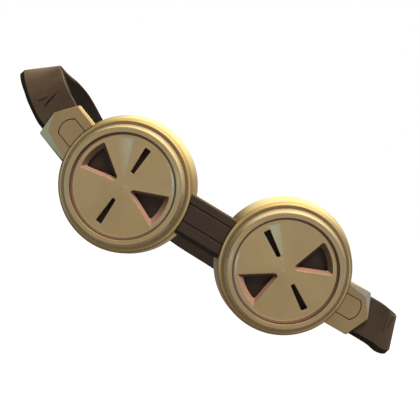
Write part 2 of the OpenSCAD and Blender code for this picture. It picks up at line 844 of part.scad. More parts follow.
module strap_left()
    difference() {
        strap_band(0, zone_i + 0.97, -2, -1);
        strap_end_holes(-1);
        for (k = [0 : 2])
            at_zone(stud_s + (k - 1) * hole_pitch)
                rotate([-90, 0, 0])
                    translate([0, 0, -strap_t / 2 - 0.5])
                        cylinder(h = strap_t + 1, r = stud_neck_r + 0.15, $fn = 32);
    }

module strap_right()
    difference() {
        strap_band(zone_i + 0.03, last_i, zone_i + 1, zone_i + 3);
        strap_end_holes(1);
        at_zone(stud_s)
            rotate([90, 0, 0])
                translate([0, 0, strap_t / 2 - 0.5])
                    cylinder(h = strap_t + 1.5, r = rivet_r + rivet_clear, $fn = 32);
    }

// stud that closes the strap: flat foot inside, screw shank, neck and round knob outside
module strap_stud()
    at_zone(stud_s)
        rotate([-90, 0, 0])
            union() {
                translate([0, 0, -strap_t * 1.5 - 2 * leather_gap - 1])
                    cylinder(h = 1, r = stud_knob_r, $fn = 48);
                translate([0, 0, -strap_t * 1.5 - 2 * leather_gap - 0.5])
                    cylinder(h = strap_t + 2 * leather_gap + 0.5, r = rivet_r, $fn = 32);
                translate([0, 0, -strap_t / 2 - leather_gap / 2])
                    cylinder(h = strap_t + 1.5, r = stud_neck_r, $fn = 32);
                translate([0, 0, strap_t / 2 + 0.4])
                    rotate_extrude($fn = 48)
                        intersection() {
                            translate([0, 1.4])
                                circle(r = stud_knob_r - 0.4, $fn = 48);
                            square([stud_knob_r, 3.4]);
                        }
            }

// brass band round both layers that slides along them
module strap_keeper() {
    in_w = strap_w + 2 * keeper_gap;
    in_t = 2 * strap_t + leather_gap + 2 * keeper_gap;
    mid = -(strap_t + leather_gap) / 2;
    at_zone(keeper_s)
        translate([-keeper_l / 2, mid, 0])
            rotate([90, 0, 90])
                linear_extrude(keeper_l)
                    difference() {
                        keeper_outline(in_t + 2 * keeper_t, in_w + 2 * keeper_t, 1.4);
                        keeper_outline(in_t, in_w, 0.3);
                    }
}

module keeper_outline(x, y, r)
    union() {
        translate([-x / 2 + r, -y / 2])
            square([x - 2 * r, y]);
        translate([-x / 2, -y / 2 + r])
            square([x, y - 2 * r]);
        for (a = [-1, 1])
            for (b = [-1, 1])
                translate([a * (x / 2 - r), b * (y / 2 - r)])
                    circle(r = r, $fn = 32);
    }

brass = [0.62, 0.52, 0.34];
dark_brass = [0.5, 0.42, 0.28];
leather = [0.26, 0.2, 0.15];
pad_leather = [0.2, 0.15, 0.12];
rubber = [0.08, 0.08, 0.08];
lens_brown = [0.2, 0.14, 0.11];

color(brass) at_cup(-1) barrel(-1);  // left_barrel
color(brass) at_cup(1) barrel(1);  // right_barrel
color(brass) at_cup(-1) bezel();  // left_bezel
color(brass) at_cup(1) bezel();  // right_bezel
color(brass) at_cup(-1) face_disc(left_face_turn);  // left_face
color(brass) at_cup(1) face_disc(right_face_turn);  // right_face
color(dark_brass) at_cup(-1) snap_ring();  // left_snap_ring
color(dark_brass) at_cup(1) snap_ring();  // right_snap_ring
color(lens_brown) at_cup(-1) lens();  // left_lens
color(lens_brown) at_cup(1) lens();  // right_lens
color(rubber) at_cup(-1) lens_gasket();  // left_gasket
color(rubber) at_cup(1) lens_gasket();  // right_gasket
color(pad_leather) at_cup(-1) eye_pad();  // left_pad
color(pad_leather) at_cup(1) eye_pad();  // right_pad
color(dark_brass) at_cup(-1) pad_ring();  // left_pad_ring
color(dark_brass) at_cup(1) pad_ring();  // right_pad_ring
color(brass) side_plate(-1);  // left_side_plate
color(brass) side_plate(1);  // right_side_plate
color(dark_brass) backing_plate(-1);  // left_backing_plate
color(dark_brass) backing_plate(1);  // right_backing_plate
color(dark_brass) plate_rivets();
color(dark_brass) strap_rivets();
color(dark_brass) bridge_rivets();
color(leather) bridge_strap();
color(leather) strap_left();
color(leather) strap_right();
color(dark_brass) strap_stud();
color(dark_brass) strap_keeper();
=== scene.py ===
import math

import bmesh
import bpy
from mathutils import Matrix, Vector, noise
from mathutils.geometry import delaunay_2d_cdt


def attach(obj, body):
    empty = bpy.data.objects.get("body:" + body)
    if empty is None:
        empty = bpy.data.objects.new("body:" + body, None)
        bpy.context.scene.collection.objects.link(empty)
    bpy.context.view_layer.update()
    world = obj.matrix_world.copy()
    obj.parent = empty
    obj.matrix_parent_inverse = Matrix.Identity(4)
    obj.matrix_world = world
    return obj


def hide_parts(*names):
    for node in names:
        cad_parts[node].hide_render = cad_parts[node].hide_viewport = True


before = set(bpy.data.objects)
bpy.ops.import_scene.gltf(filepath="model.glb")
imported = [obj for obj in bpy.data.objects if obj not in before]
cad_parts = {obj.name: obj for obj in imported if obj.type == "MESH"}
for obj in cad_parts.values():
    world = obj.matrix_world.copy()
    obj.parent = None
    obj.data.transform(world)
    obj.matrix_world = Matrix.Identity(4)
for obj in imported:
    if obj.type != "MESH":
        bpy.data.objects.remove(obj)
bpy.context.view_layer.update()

MM = 0.001
SIDES = {"left": -1, "right": 1}

# sizes in mm, the same as in the part's source
SPACING = 74.7
TOE = math.radians(4.5)
PAD_DEPTH = 7.0
BARREL_DEPTH = 12.0
CUP_H = 17.0
CUP_FRONT_Y = -(CUP_H + PAD_DEPTH)
OPENING_R = 21.9
BEZEL_FACE_W = 2.2
BEZEL_STEP = 0.8
FACE_R = 23.1
RECESS_R = 23.15
SPIGOT_R = 24.65
SEAT_R = 24.68
FOOT_R = 25.18
FRONT_R = 27.78
REAR_R = 28.88
BORE_R = 26.18
SHELF_R = 21.48
SHOULDER_R = 0.9
SPIGOT_Z = 11.0
SHELF_TOP = 8.6
SHELF_BOTTOM = 7.6
LIP_Z = 15.7
FACE_TOP = 15.65
FACE_BACK = 13.0
FACE_CHAMFER = 0.3
DISH_DEPTH = 1.15
DISH_Z = 14.5
CONE_RISE = 1.2
RIM_IN = OPENING_R - 0.25
FLOOR_R = RIM_IN - DISH_DEPTH
PAD_OUTER_R = BORE_R + 1.8
PAD_W = 7.6
SKIRT_R = BORE_R - 0.03
SKIRT_W = 1.5
SKIRT_Z = 2.6
FACE_TURN = {"left": -6.4, "right": -126.1}
WINDOWS = (168.7, 359.5)
SLITS = (89.4, 268.8)
WINDOW_HALF = math.radians(23.75)
WINDOW_R = 19.35
WINDOW_APEX = 5.3
WINDOW_APEX_R = 1.35
WINDOW_CORNER_R = 0.6
WINDOW_BEVEL = 1.2
WINDOW_ARC_BEVEL = 2.0
SLIT_IN, SLIT_OUT = 6.3, 18.1
SLIT_IN_W, SLIT_OUT_W = 1.6, 2.8
PLATE_FACE_Z = 9.3
PLATE_T = 2.2
GROOVE_D = 0.45
PLATE_TURN = {"left": 23.5, "right": -3.0}
PLATE_DROP = {"left": -4.3, "right": -1.1}
PLATE_REACH = {"left": FRONT_R + 14.2, "right": FRONT_R + 13.1}
GAP = 0.05
STRAP_W = 17.2
STRAP_T = 2.4
STRAP_BEVEL = 2.1
STRAP_Z = PLATE_FACE_Z - PLATE_T - GAP - STRAP_T / 2
LOOP_LEFT, LOOP_RIGHT, LOOP_BACK = 93.0, 87.0, 121.0
LEFT_RISE, RIGHT_RISE, BACK_SAG = 22.0, -6.0, -22.5
OVERLAP_L = 52.0
STUD_S = OVERLAP_L * 0.65
HOLE_PITCH = 9.0
HOLE_R = 1.65
LAYER = STRAP_T + GAP

RING_STEPS = 192  # points round a turned shape


def cup_matrix(side):
    return (
        Matrix.Translation((side * SPACING / 2, CUP_FRONT_Y, 0))
        @ Matrix.Rotation(side * TOE, 4, "Z")
        @ Matrix.Rotation(math.radians(90), 4, "X")
        @ Matrix.Translation((0, 0, -CUP_H))
    )


def wall_r(z):
    return REAR_R - (REAR_R - FRONT_R) / (BARREL_DEPTH - SHOULDER_R) * z


# ---- numbers and outlines ----


def ease(s):
    return s * s * (3 - 2 * s)


def step(value, low, high):
    return ease(min(1.0, max(0.0, (value - low) / (high - low))))


def between(table, u):
    """Value at u of a table of (place on the route, value), 0 outside it."""
    for (u0, v0), (u1, v1) in zip(table, table[1:]):
        if u0 <= u <= u1:
            return v0 + (v1 - v0) * ease((u - u0) / (u1 - u0))
    return 0.0


def swelling(share):
    """Full in the middle of a length, small at its ends."""
    return math.sin(math.pi * (0.12 + 0.76 * share))


def blended(a, b, share):
    return tuple(x + (y - x) * share for x, y in zip(a, b))


def polar(r, angle):
    return r * math.cos(angle), r * math.sin(angle)


def circle(r, count, shift=0.0):
    return [polar(r, math.tau * (k + shift) / count) for k in range(count)]


def area(outline):
    return sum(
        a[0] * b[1] - b[0] * a[1] for a, b in zip(outline, outline[1:] + outline[:1])
    ) / 2


def turned(loop, degrees):
    c, s = polar(1, math.radians(degrees))
    return [(c * x - s * y, s * x + c * y) for x, y in loop]


def inside(p, loop):
    hit = False
    for (ax, ay), (bx, by) in zip(loop, loop[1:] + loop[:1]):
        if (ay > p[1]) != (by > p[1]) and p[0] < (bx - ax) * (p[1] - ay) / (by - ay) + ax:
            hit = not hit
    return hit


def softened(outline, radius, steps=4):
    """A closed outline with its corners rounded; radius is one value or one for each."""
    count = len(outline)
    out = []
    for i, corner in enumerate(outline):
        r = radius[i] if hasattr(radius, "__len__") else radius
        corner = Vector(corner)
        back = Vector(outline[i - 1]) - corner
        on = Vector(outline[(i + 1) % count]) - corner
        if r <= 0:
            out.append(tuple(corner))
            continue
        half = back.angle(on) / 2
        reach = min(r / max(math.tan(half), 0.05), back.length * 0.45, on.length * 0.45)
        a, b = corner + back.normalized() * reach, corner + on.normalized() * reach
        for k in range(steps + 1):
            t = k / steps
            out.append(tuple((1 - t) ** 2 * a + 2 * t * (1 - t) * corner + t * t * b))
    return out


def divided(section, length):
    """The same outline with its long sides split into short ones."""
    out = []
    for a, b in zip(section, section[1:] + section[:1]):
        a, b = Vector(a), Vector(b)
        parts = max(1, int(math.ceil((b - a).length / length)))
        out += [tuple(a.lerp(b, k / parts)) for k in range(parts)]
    return out


def grid(rows, columns, wrap, mirror=False, base=0):
    """Faces between the points of a grid; wrap joins the last row, column to the first."""
    faces = []
    for k in range(rows if wrap[0] else rows - 1):
        k2 = (k + 1) % rows
        for j in range(columns if wrap[1] else columns - 1):
            j2 = (j + 1) % columns
            a, b = base + k * columns + j, base + k * columns + j2
            c, d = base + k2 * columns + j2, base + k2 * columns + j
            faces.append((a, d, c, b) if mirror else (a, b, c, d))
    return faces


def flipped(faces):
    return [tuple(reversed(f)) for f in faces]


def spun(profile):
    """Points of a profile of (radius, z) turned about Z."""
    return [
        (*polar(r, math.tau * k / RING_STEPS), z)
        for k in range(RING_STEPS)
        for r, z in profile
    ]


def revolved(profile):
    """Points and faces of a closed profile of (radius, z) turned about Z."""
    faces = grid(RING_STEPS, len(profile), (True, True))
    return spun(profile), flipped(faces) if area(profile) > 0 else faces


def lofted(frames, sections):
    """Points and faces of a band from frames of (place, across, out) and closed sections
    of (across, out)."""
    rows, count = len(frames), len(sections[0])
    points = [
        tuple(place + a * across + o * out)
        for (place, across, out), section in zip(frames, sections)
        for a, o in section
    ]
    faces = grid(rows, count, (False, True), mirror=True)
    faces.append(tuple(range(count)))
    faces.append(tuple(reversed(range((rows - 1) * count, rows * count))))
    return points, faces


# ---- materials ----

# reach of the dirt and painted shade in corners and of the wear on edges, partly a painted
# highlight on leather, in metres
DIRT_AND_SHADE_REACH = 0.0022
METAL_WEAR = 0.00035
LEATHER_WEAR_AND_HIGHLIGHT = 0.0006
SHADE_REACH = 0.0015


def tinted(colour, by):
    return tuple(min(1, c * by) for c in colour)


class Nodes:
    """A material's node tree, with short calls to add and join nodes."""

    def __init__(self, name):
        self.mat = bpy.data.materials.new(name)
        self.mat.use_nodes = True
        self.tree = self.mat.node_tree
        self.bsdf = self.tree.nodes["Principled BSDF"]
        self.where = self.tree.nodes.new("ShaderNodeTexCoord").outputs["Object"]

    def add(self, kind, inputs=(), **settings):
        node = self.tree.nodes.new(kind)
        for key, value in settings.items():
            setattr(node, key, value)
        for key, value in dict(inputs).items():
            self.put(node.inputs[key], value)
        return node

    def put(self, socket, value):
        if isinstance(value, bpy.types.NodeSocket):
            self.tree.links.new(value, socket)
        else:
            socket.default_value = value

    def noise(self, scale, detail=4.0, rough=0.55, stretch=None):
        where = self.where
        if stretch:
            mapping = self.add("ShaderNodeMapping", {"Vector": where, "Scale": stretch})
            where = mapping.outputs[0]
        return self.add(
            "ShaderNodeTexNoise",
            {"Vector": where, "Scale": scale, "Detail": detail, "Roughness": rough},
        ).outputs["Fac"]

    def cells(self, scale):
        return self.add(
            "ShaderNodeTexVoronoi",
            {"Vector": self.where, "Scale": scale},
            feature="DISTANCE_TO_EDGE",
        ).outputs["Distance"]

    def ramp(self, value, *stops):
        node = self.add("ShaderNodeValToRGB", {"Fac": value})
        for element, (at, colour) in zip(node.color_ramp.elements, stops):
            element.position = at
            element.color = (*(colour if hasattr(colour, "__len__") else [colour] * 3), 1)
        return node.outputs["Color"]

    def mottled(self, value, colour, low, spread):
        """The colour, darker where the value is low and lighter where it is high."""
        return self.ramp(
            value, (low, tinted(colour, 1 - spread)), (1 - low, tinted(colour, 1 + spread))
        )

    def math(self, kind, a, b, clamp=False):
        node = self.add("ShaderNodeMath", operation=kind, use_clamp=clamp)
        self.put(node.inputs[0], a)
        self.put(node.inputs[1], b)
        return node.outputs[0]

    def plus(self, a, b, clamp=False):
        return self.math("ADD", a, b, clamp)

    def minus(self, a, b):
        return self.math("SUBTRACT", a, b)

    def times(self, a, b, clamp=False):
        return self.math("MULTIPLY", a, b, clamp)

    def mix(self, share, a, b):
        """Colour a with a share of b, which is a plain colour."""
        node = self.add("ShaderNodeMix", data_type="RGBA", blend_type="MIX")
        self.put(node.inputs["Factor"], share)
        self.put(node.inputs[6], a)
        self.put(node.inputs[7], (*b, 1))
        return node.outputs[2]

    def occlusion(self, distance):
        return self.add(
            "ShaderNodeAmbientOcclusion", {"Distance": distance}, samples=8
        ).outputs["AO"]

    def normal(self):
        return self.add("ShaderNodeNewGeometry").outputs["Normal"]

    def below(self, level, slope):
        """0 to 1 as the z of the surface's normal falls below the level."""
        z = self.add("ShaderNodeSeparateXYZ", {0: self.normal()}).outputs[2]
        return self.times(self.minus(level, z), slope, clamp=True)

    def above(self, level, slope):
        """0 to 1 as the z of the surface's normal rises above the level."""
        z = self.add("ShaderNodeSeparateXYZ", {0: self.normal()}).outputs[2]
        return self.times(self.minus(z, level), slope, clamp=True)

    def edges(self, radius):
        """0 on flat parts, rising to 1 on outer edges."""
        bevel = self.add("ShaderNodeBevel", {"Radius": radius}, samples=6).outputs[0]
        dot = self.add("ShaderNodeVectorMath", operation="DOT_PRODUCT")
        self.put(dot.inputs[0], bevel)
        self.put(dot.inputs[1], self.normal())
        return self.times(self.minus(1.0, dot.outputs["Value"]), 4.0, clamp=True)

    def bump(self, height, strength, distance):
        node = self.add(
            "ShaderNodeBump", {"Height": height, "Strength": strength, "Distance": distance}
        )
        self.put(self.bsdf.inputs["Normal"], node.outputs[0])

    def set(self, **values):
        for key, value in values.items():
            self.put(self.bsdf.inputs[key.replace("_", " ")], value)
        return self.mat


def brass(
    name, colour, dark, rough, grime_and_shade=1.0, metal=1.0, coat=0.0, shine=0.5, painted_shade_below=None
):
    """Aged metal, darker in its corners from dirt and painted shade, with pale worn edges;
    the last argument is a colour painted as shade on faces that point down.
    """
    n = Nodes(name)
    cloud = n.noise(90, 3)
    fine = n.noise(1400, 6, 0.6)
    tone = n.mottled(cloud, colour, 0.35, 0.05)
    # painted shade with dirt: ambient occlusion darkens corners and recesses, clouded by
    # noise
    dirt_and_shade = n.ramp(n.occlusion(DIRT_AND_SHADE_REACH), (0.15, 1.0), (0.8, 0.0))
    stain_and_shade = n.times(dirt_and_shade, n.plus(n.times(cloud, 0.7), 0.5), clamp=True)
    tone = n.mix(n.times(stain_and_shade, 0.62 * grime_and_shade), tone, dark)
    tone = n.mix(n.times(n.edges(METAL_WEAR), 0.35), tone, tinted(colour, 1.5))
    # painted shade: faces that point down take the darker colour
    if painted_shade_below:
        tone = n.mix(n.times(n.below(0.3, 2.5), 0.92), tone, painted_shade_below)
    rough_map = n.plus(n.times(n.minus(fine, 0.5), 0.04), rough)
    rough_map = n.plus(rough_map, n.times(dirt_and_shade, 0.14), clamp=True)
    n.bump(n.plus(fine, n.times(cloud, 2.0)), 0.012, 0.0002)
    if coat:
        n.set(Coat_Weight=coat, Coat_IOR=1.6, Coat_Roughness=0.045)
    return n.set(
        Base_Color=tone, Metallic=metal, Roughness=rough_map, Specular_IOR_Level=shine
    )


def leather(
    name, colour, rough, grain=0.35, cell=1100, shine=0.25, painted_edge_light_shade=False, painted_top_light=None
):
    """Grained leather with pale edges, partly wear and partly painted highlight. The
    second-last argument paints shade on faces that point down and light on open faces
    that point up; the last is a lighter colour painted as light on faces that point up."""
    n = Nodes(name)
    cloud = n.noise(70, 4)
    fine = n.noise(2600, 5, 0.65)
    cells = n.cells(cell)
    tone = n.mottled(cloud, colour, 0.3, 0.12)
    # pale edges: wear, and a painted highlight along them
    tone = n.mix(n.times(n.edges(LEATHER_WEAR_AND_HIGHLIGHT), 0.4), tone, tinted(colour, 2.4))
    seams = n.ramp(cells, (0.0, 1.0), (0.12, 0.0))
    tone = n.mix(n.times(seams, 0.25), tone, tinted(colour, 0.5))
    # painted shade on faces that point down, and a painted highlight on open faces that
    # point up
    if painted_edge_light_shade:
        tone = n.mix(n.times(n.below(-0.25, 5.0), 0.7), tone, (0.009, 0.007, 0.006))
        open_sky = n.ramp(n.occlusion(SHADE_REACH), (0.5, 0.0), (0.8, 1.0))
        high = n.times(n.above(0.6, 4.0), open_sky)
        tone = n.mix(n.times(high, 0.7), tone, (0.16, 0.1, 0.07))
    # painted light: faces that point up take a lighter colour
    if painted_top_light:
        tone = n.mix(n.times(n.above(0.2, 1.6), 0.7), tone, painted_top_light)
    height = n.plus(n.ramp(cells, (0.0, 0.0), (0.3, 1.0)), n.times(fine, 0.6))
    n.bump(height, grain, 0.00012)
    rough_map = n.plus(n.times(n.minus(cloud, 0.5), 0.2), rough, clamp=True)
    return n.set(Base_Color=tone, Roughness=rough_map, Specular_IOR_Level=shine)


def rubber(name, colour):
    n = Nodes(name)
    fine = n.noise(1800, 4)
    n.bump(fine, 0.2, 0.0001)
    tone = n.mottled(n.noise(200), colour, 0.3, 0.2)
    return n.set(Base_Color=tone, Roughness=n.plus(n.times(fine, 0.2), 0.6))


def tinted_lens(name, colour):
    n = Nodes(name)
    haze = n.noise(260, 5, 0.6)
    smear = n.noise(120, 3, 0.5, stretch=(1, 1, 4))
    n.bump(smear, 0.02, 0.0001)
    return n.set(
        Base_Color=n.mottled(haze, colour, 0.3, 0.1),
        Roughness=n.plus(n.times(smear, 0.25), 0.35),
        Specular_IOR_Level=0.1,
    )


# colour of the dirt and painted shade in the corners of the brass parts
DARK = (0.1, 0.055, 0.032)
AGED_BRASS = brass("aged_brass", (0.34, 0.235, 0.108), DARK, 0.27, grime_and_shade=0.4)
PLATE_BRASS = brass("plate_brass", (0.235, 0.16, 0.077), DARK, 0.27)
# painted shade: near black brass for the faces inside the plates' groove
GROOVE_SHADE = brass("groove_shade", (0.07, 0.044, 0.022), (0.03, 0.018, 0.01), 0.5)
FACE_BRASS = brass("face_brass", (0.262, 0.17, 0.056), DARK, 0.22, coat=1.0)
BEZEL_BRASS = brass("bezel_brass", (0.27, 0.184, 0.078), DARK, 0.25, coat=0.5)
# painted light: a lighter, less metallic copy of the bezel's brass for its sloped ring
SLOPE_LIT_BRASS = brass(
    "slope_lit_brass", (0.39, 0.3, 0.165), (0.12, 0.07, 0.04), 0.35,
    grime_and_shade=0.15, metal=0.35, coat=0.5,
)
# painted shade: a darker brass for the barrel's front annulus next to the bezel
SHADE_BRASS = brass("shade_brass", (0.165, 0.108, 0.05), (0.06, 0.034, 0.02), 0.4)
# window walls of the brass face: a pink tone painted as bounced light, with painted shade
# on faces that point down
WINDOW_WALL_LIGHT_SHADE = brass(
    "window_wall_light_shade", (0.45, 0.24, 0.16), (0.03, 0.016, 0.01), 0.55,
    metal=0.0, shine=0.1, painted_shade_below=(0.07, 0.038, 0.024),
)
# slit walls of the brass face painted the brown that the shaded slits show, painted light
# and shade
SLIT_SHADE_BROWN = brass(
    "slit_shade_brown", (0.34, 0.24, 0.17), (0.14, 0.09, 0.065), 0.6,
    grime_and_shade=0.5, metal=0.0, shine=0.1,
)
# painted shade: the dish's curved rim in a dark maroon, for the shaded gap round the face
RIM_SHADE = brass(
    "rim_shade", (0.16, 0.082, 0.058), (0.012, 0.005, 0.004), 0.6,
    grime_and_shade=1.6, metal=0.0, shine=0.1,
)
DARK_BRASS = brass("dark_brass", (0.25, 0.175, 0.085), (0.06, 0.035, 0.02), 0.42)
# the strap's face, lighter where it points up as painted light
STRAP_LEATHER = leather(
    "strap_leather", (0.07, 0.043, 0.024), 0.62, shine=0.1, painted_top_light=(0.14, 0.09, 0.058)
)
# dark edge dye on the strap's sides, bevel and holes, and painted shade in its creases
STRAP_EDGE_AND_CREASE_SHADE = leather("strap_edge_and_crease_shade", (0.017, 0.0118, 0.0085), 0.75, grain=0.2, shine=0.04)
# the strap's rough back, its colour darkened as painted shade
STRAP_BACK_SHADE = leather(
    "strap_back_shade", (0.034, 0.022, 0.015), 0.75, grain=0.5, cell=2200, shine=0.08
)
# painted highlight: a pale leather for the strap's upper edge
STRAP_TOP_LIGHT = leather("strap_top_light", (0.12, 0.08, 0.058), 0.7, shine=0.1)
# bridge leather with painted shade below and a painted highlight along its top
BRIDGE_LEATHER = leather(
    "bridge_leather", (0.046, 0.03, 0.02), 0.62, shine=0.1, painted_edge_light_shade=True
)
PAD_LEATHER = leather("pad_leather", (0.03, 0.021, 0.015), 0.55, grain=0.5, cell=900)
GASKET_RUBBER = rubber("gasket_rubber", (0.02, 0.019, 0.018))
DARK_LENS = tinted_lens("dark_lens", (0.05, 0.028, 0.018))
THREAD = leather("thread", (0.09, 0.062, 0.038), 0.8, grain=0.2, cell=3000)


# ---- meshes ----


def new_mesh(name, points, faces, *materials):
    mesh = bpy.data.meshes.new(name)
    mesh.from_pydata(points, [], faces)
    for material in materials:
        mesh.materials.append(material)
    return mesh


def placed(name, data):
    """A new object with the data, in the scene."""
    made = bpy.data.objects.new(name, data)
    bpy.context.scene.collection.objects.link(made)
    return made


def piece(
    name, points, faces, matrix, materials, body, replaces=(), sharp=50, kinds=None
):
    """An object from points in mm that rides its body; kinds gives each face's material."""
    mesh = new_mesh(name, [(matrix @ Vector(p)) * MM for p in points], faces, *materials)
    if kinds:
        mesh.polygons.foreach_set("material_index", kinds)
    mesh.validate()
    mesh.shade_smooth()
    mesh.set_sharp_from_angle(angle=math.radians(sharp))
    made = placed(name, mesh)
    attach(made, body)
    if replaces:
        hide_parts(*replaces)
    return made


# ---- cups ----

# rows of points down an opening's wall: (inset, drop) round its edge, then shares of depth
WINDOW_EDGE = ((-0.16, 0.0), (-0.05, 0.03), (0.02, 0.1), (0.08, 0.2))
WINDOW_DEPTHS = (0.3, 0.55, 0.8, 1.0)
SLIT_EDGE = ((-0.12, 0.0), (-0.04, 0.03), (0.0, 0.12))
# places in the face's list of materials; the window, rim and slit places take painted light
# and shade
FACE_FRONT, FACE_WINDOW, FACE_RIM, FACE_SLIT = 0, 1, 2, 3
# circles of points that shape the cone between its middle and the dish's edge
CONE_RINGS = [0.5, 1.0, 1.6, 2.4, 3.4, 4.6] + [5.8 + 1.225 * k for k in range(13)]
CONE_SPACING = 0.9


def cone_z(r):
    return DISH_Z + CONE_RISE * (1 - math.sqrt(r * r + 0.3) / FLOOR_R)


def window_loop(inset, arc_inset):
    """Outline of a wedge window drawn in by inset, always with the same count of points."""
    h = WINDOW_HALF
    apex_r = max(0.3, WINDOW_APEX_R - inset)
    centre = Vector((WINDOW_APEX + (inset + apex_r - WINDOW_APEX_R) / math.sin(h), 0))
    along, normal = Vector(polar(1, h)), Vector((-math.sin(h), math.cos(h)))
    outer, rc = WINDOW_R - arc_inset, WINDOW_CORNER_R
    base = centre + (apex_r - rc) * normal
    b, c = base.dot(along), base.length_squared - (outer - rc) ** 2
    corner = base + (-b + math.sqrt(b * b - c)) * along
    turn = math.atan2(corner.y, corner.x)
    start, end = centre + apex_r * normal, corner + rc * normal
    top = math.pi / 2 + h
    upper = [start.lerp(end, k / 12) for k in range(12)]
    upper += [corner + rc * Vector(polar(1, top + (turn - top) * k / 8)) for k in range(9)]
    arc = [outer * Vector(polar(1, turn - 2 * turn * k / 24)) for k in range(1, 24)]
    lower = [Vector((p.x, -p.y)) for p in reversed(upper)]
    apex = [
        centre + apex_r * Vector(polar(1, -top - (math.tau - 2 * top) * k / 12))
        for k in range(1, 12)
    ]
    return [tuple(p) for p in upper + arc + lower + apex]


def slit_loop(inset):
    """Outline of a tapered slit drawn in by inset."""
    start, start_w = SLIT_IN + inset, SLIT_IN_W / 2 - inset
    end, end_w = SLIT_OUT - inset, SLIT_OUT_W / 2 - inset
    return softened(
        [(start, start_w), (end, end_w), (end, -end_w), (start, -start_w)], 0.5, 5
    )


def cut_sheet(ring, holes, height, inner=()):
    """Triangles inside ring and outside the holes; height gives z at a radius."""
    coords, edges = [], []
    for loop in [ring] + holes:
        base = len(coords)
        coords += [Vector(p) for p in loop]
        edges += [(base + i, base + (i + 1) % len(loop)) for i in range(len(loop))]
    coords += [Vector(p) for p in inner if not any(inside(p, h) for h in holes)]
    verts, _, tris, *_ = delaunay_2d_cdt(coords, edges, [], 0, 1e-6)
    keep = []
    for t in tris:
        mid = sum((verts[i] for i in t), Vector((0, 0))) / 3
        if not any(inside(mid, h) for h in holes):
            keep.append(tuple(t))
    return [(v.x, v.y, height(v.length)) for v in verts], keep


def weld(made):
    """Joins the points that coincide and sets the sharp edges again."""
    bm = bmesh.new()
    bm.from_mesh(made.data)
    bmesh.ops.remove_doubles(bm, verts=bm.verts, dist=2e-6)
    bmesh.ops.recalc_face_normals(bm, faces=bm.faces)
    bm.to_mesh(made.data)
    bm.free()
    made.data.set_sharp_from_angle(angle=math.radians(45))


def face_disc(side_name):
    """The turning face: dished front with a shallow cone, windows and slits, flat back."""
    points, faces, kinds = [], [], []

    def join(new_points, new_faces, flip=False, new_kinds=None):
        base = len(points)
        points.extend(new_points)
        new = [tuple(base + i for i in f) for f in new_faces]
        faces.extend(flipped(new) if flip else new)
        kinds.extend(new_kinds or [FACE_FRONT] * len(new))

    # rows of an opening: outline, drop from the front, share of the depth below it
    window = [(window_loop(inset, inset), drop, 0.0) for inset, drop in WINDOW_EDGE]
    window += [
        (window_loop(WINDOW_BEVEL * share, WINDOW_ARC_BEVEL * share), 0.0, share)
        for share in WINDOW_DEPTHS
    ]
    slit = [(slit_loop(inset), drop, 0.0) for inset, drop in SLIT_EDGE]
    slit.append((slit_loop(0.0), 0.0, 1.0))
    cuts = [
        ([(turned(loop, angle), drop, share) for loop, drop, share in rows], deep)
        for angles, rows, deep in ((WINDOWS, window, FACE_WINDOW), (SLITS, slit, FACE_SLIT))
        for angle in angles
    ]

    inner = [(0.0, 0.0)]
    for r in CONE_RINGS:
        if r < FLOOR_R - 0.3:
            count = max(8, int(math.tau * r / CONE_SPACING))
            inner += circle(r, count, 0.5 * (count % 2))
    front_holes, back_holes = [[rows[end][0] for rows, _ in cuts] for end in (0, -1)]
    join(*cut_sheet(circle(FLOOR_R, RING_STEPS), front_holes, cone_z, inner))
    back_ring = circle(FACE_R - FACE_CHAMFER, RING_STEPS)
    join(*cut_sheet(back_ring, back_holes, lambda r: FACE_BACK), flip=True)
    for rows, deep in cuts:
        count = len(rows[0][0])
        wall = []
        for loop, drop, share in rows:
            for x, y in loop:
                top = cone_z(math.hypot(x, y))
                wall.append((x, y, top - drop - share * (top - FACE_BACK)))
        quads = grid(len(rows), count, (False, True), mirror=True)
        wall_kinds = [FACE_FRONT] * 2 * count + [deep] * (len(rows) - 3) * count
        join(wall, quads, area(rows[0][0]) > 0, wall_kinds)

    rim = [(FLOOR_R, cone_z(FLOOR_R))]
    for k in range(1, 13):
        x, y = polar(DISH_DEPTH, math.radians(90 * k / 12))
        rim.append((FLOOR_R + y, FACE_TOP - x))
    rim += [(RIM_IN + 0.1, FACE_TOP), (FACE_R - 0.1, FACE_TOP), (FACE_R, FACE_TOP - 0.1)]
    rim += [(FACE_R, FACE_BACK + FACE_CHAMFER), (FACE_R - FACE_CHAMFER, FACE_BACK)]
    rim_kinds = [FACE_RIM if j > 2 else FACE_FRONT for j in range(len(rim) - 1)]
    join(spun(rim), grid(RING_STEPS, len(rim), (True, False)), True, rim_kinds * RING_STEPS)

    turn = Matrix.Rotation(math.radians(FACE_TURN[side_name]), 4, "Z")
    weld(
        piece(
            side_name + "_turning_face", points, faces, cup_matrix(SIDES[side_name]) @ turn,
            [FACE_BRASS, WINDOW_WALL_LIGHT_SHADE, RIM_SHADE, SLIT_SHADE_BROWN],
            side_name + "_face_body", (side_name + "_face",), kinds=kinds,
        )
    )


def ring_piece(side_name, name, node, profile, materials, second):
    """A turned ring; faces that pass second, a test of (radius, z), take that material."""
    points, faces = revolved(profile)
    kinds = [
        int(all(second(math.hypot(*points[i][:2]), points[i][2]) for i in f)) for f in faces
    ]
    piece(
        side_name + name, points, faces, cup_matrix(SIDES[side_name]), materials,
        "goggles", (side_name + node,), kinds=kinds,
    )


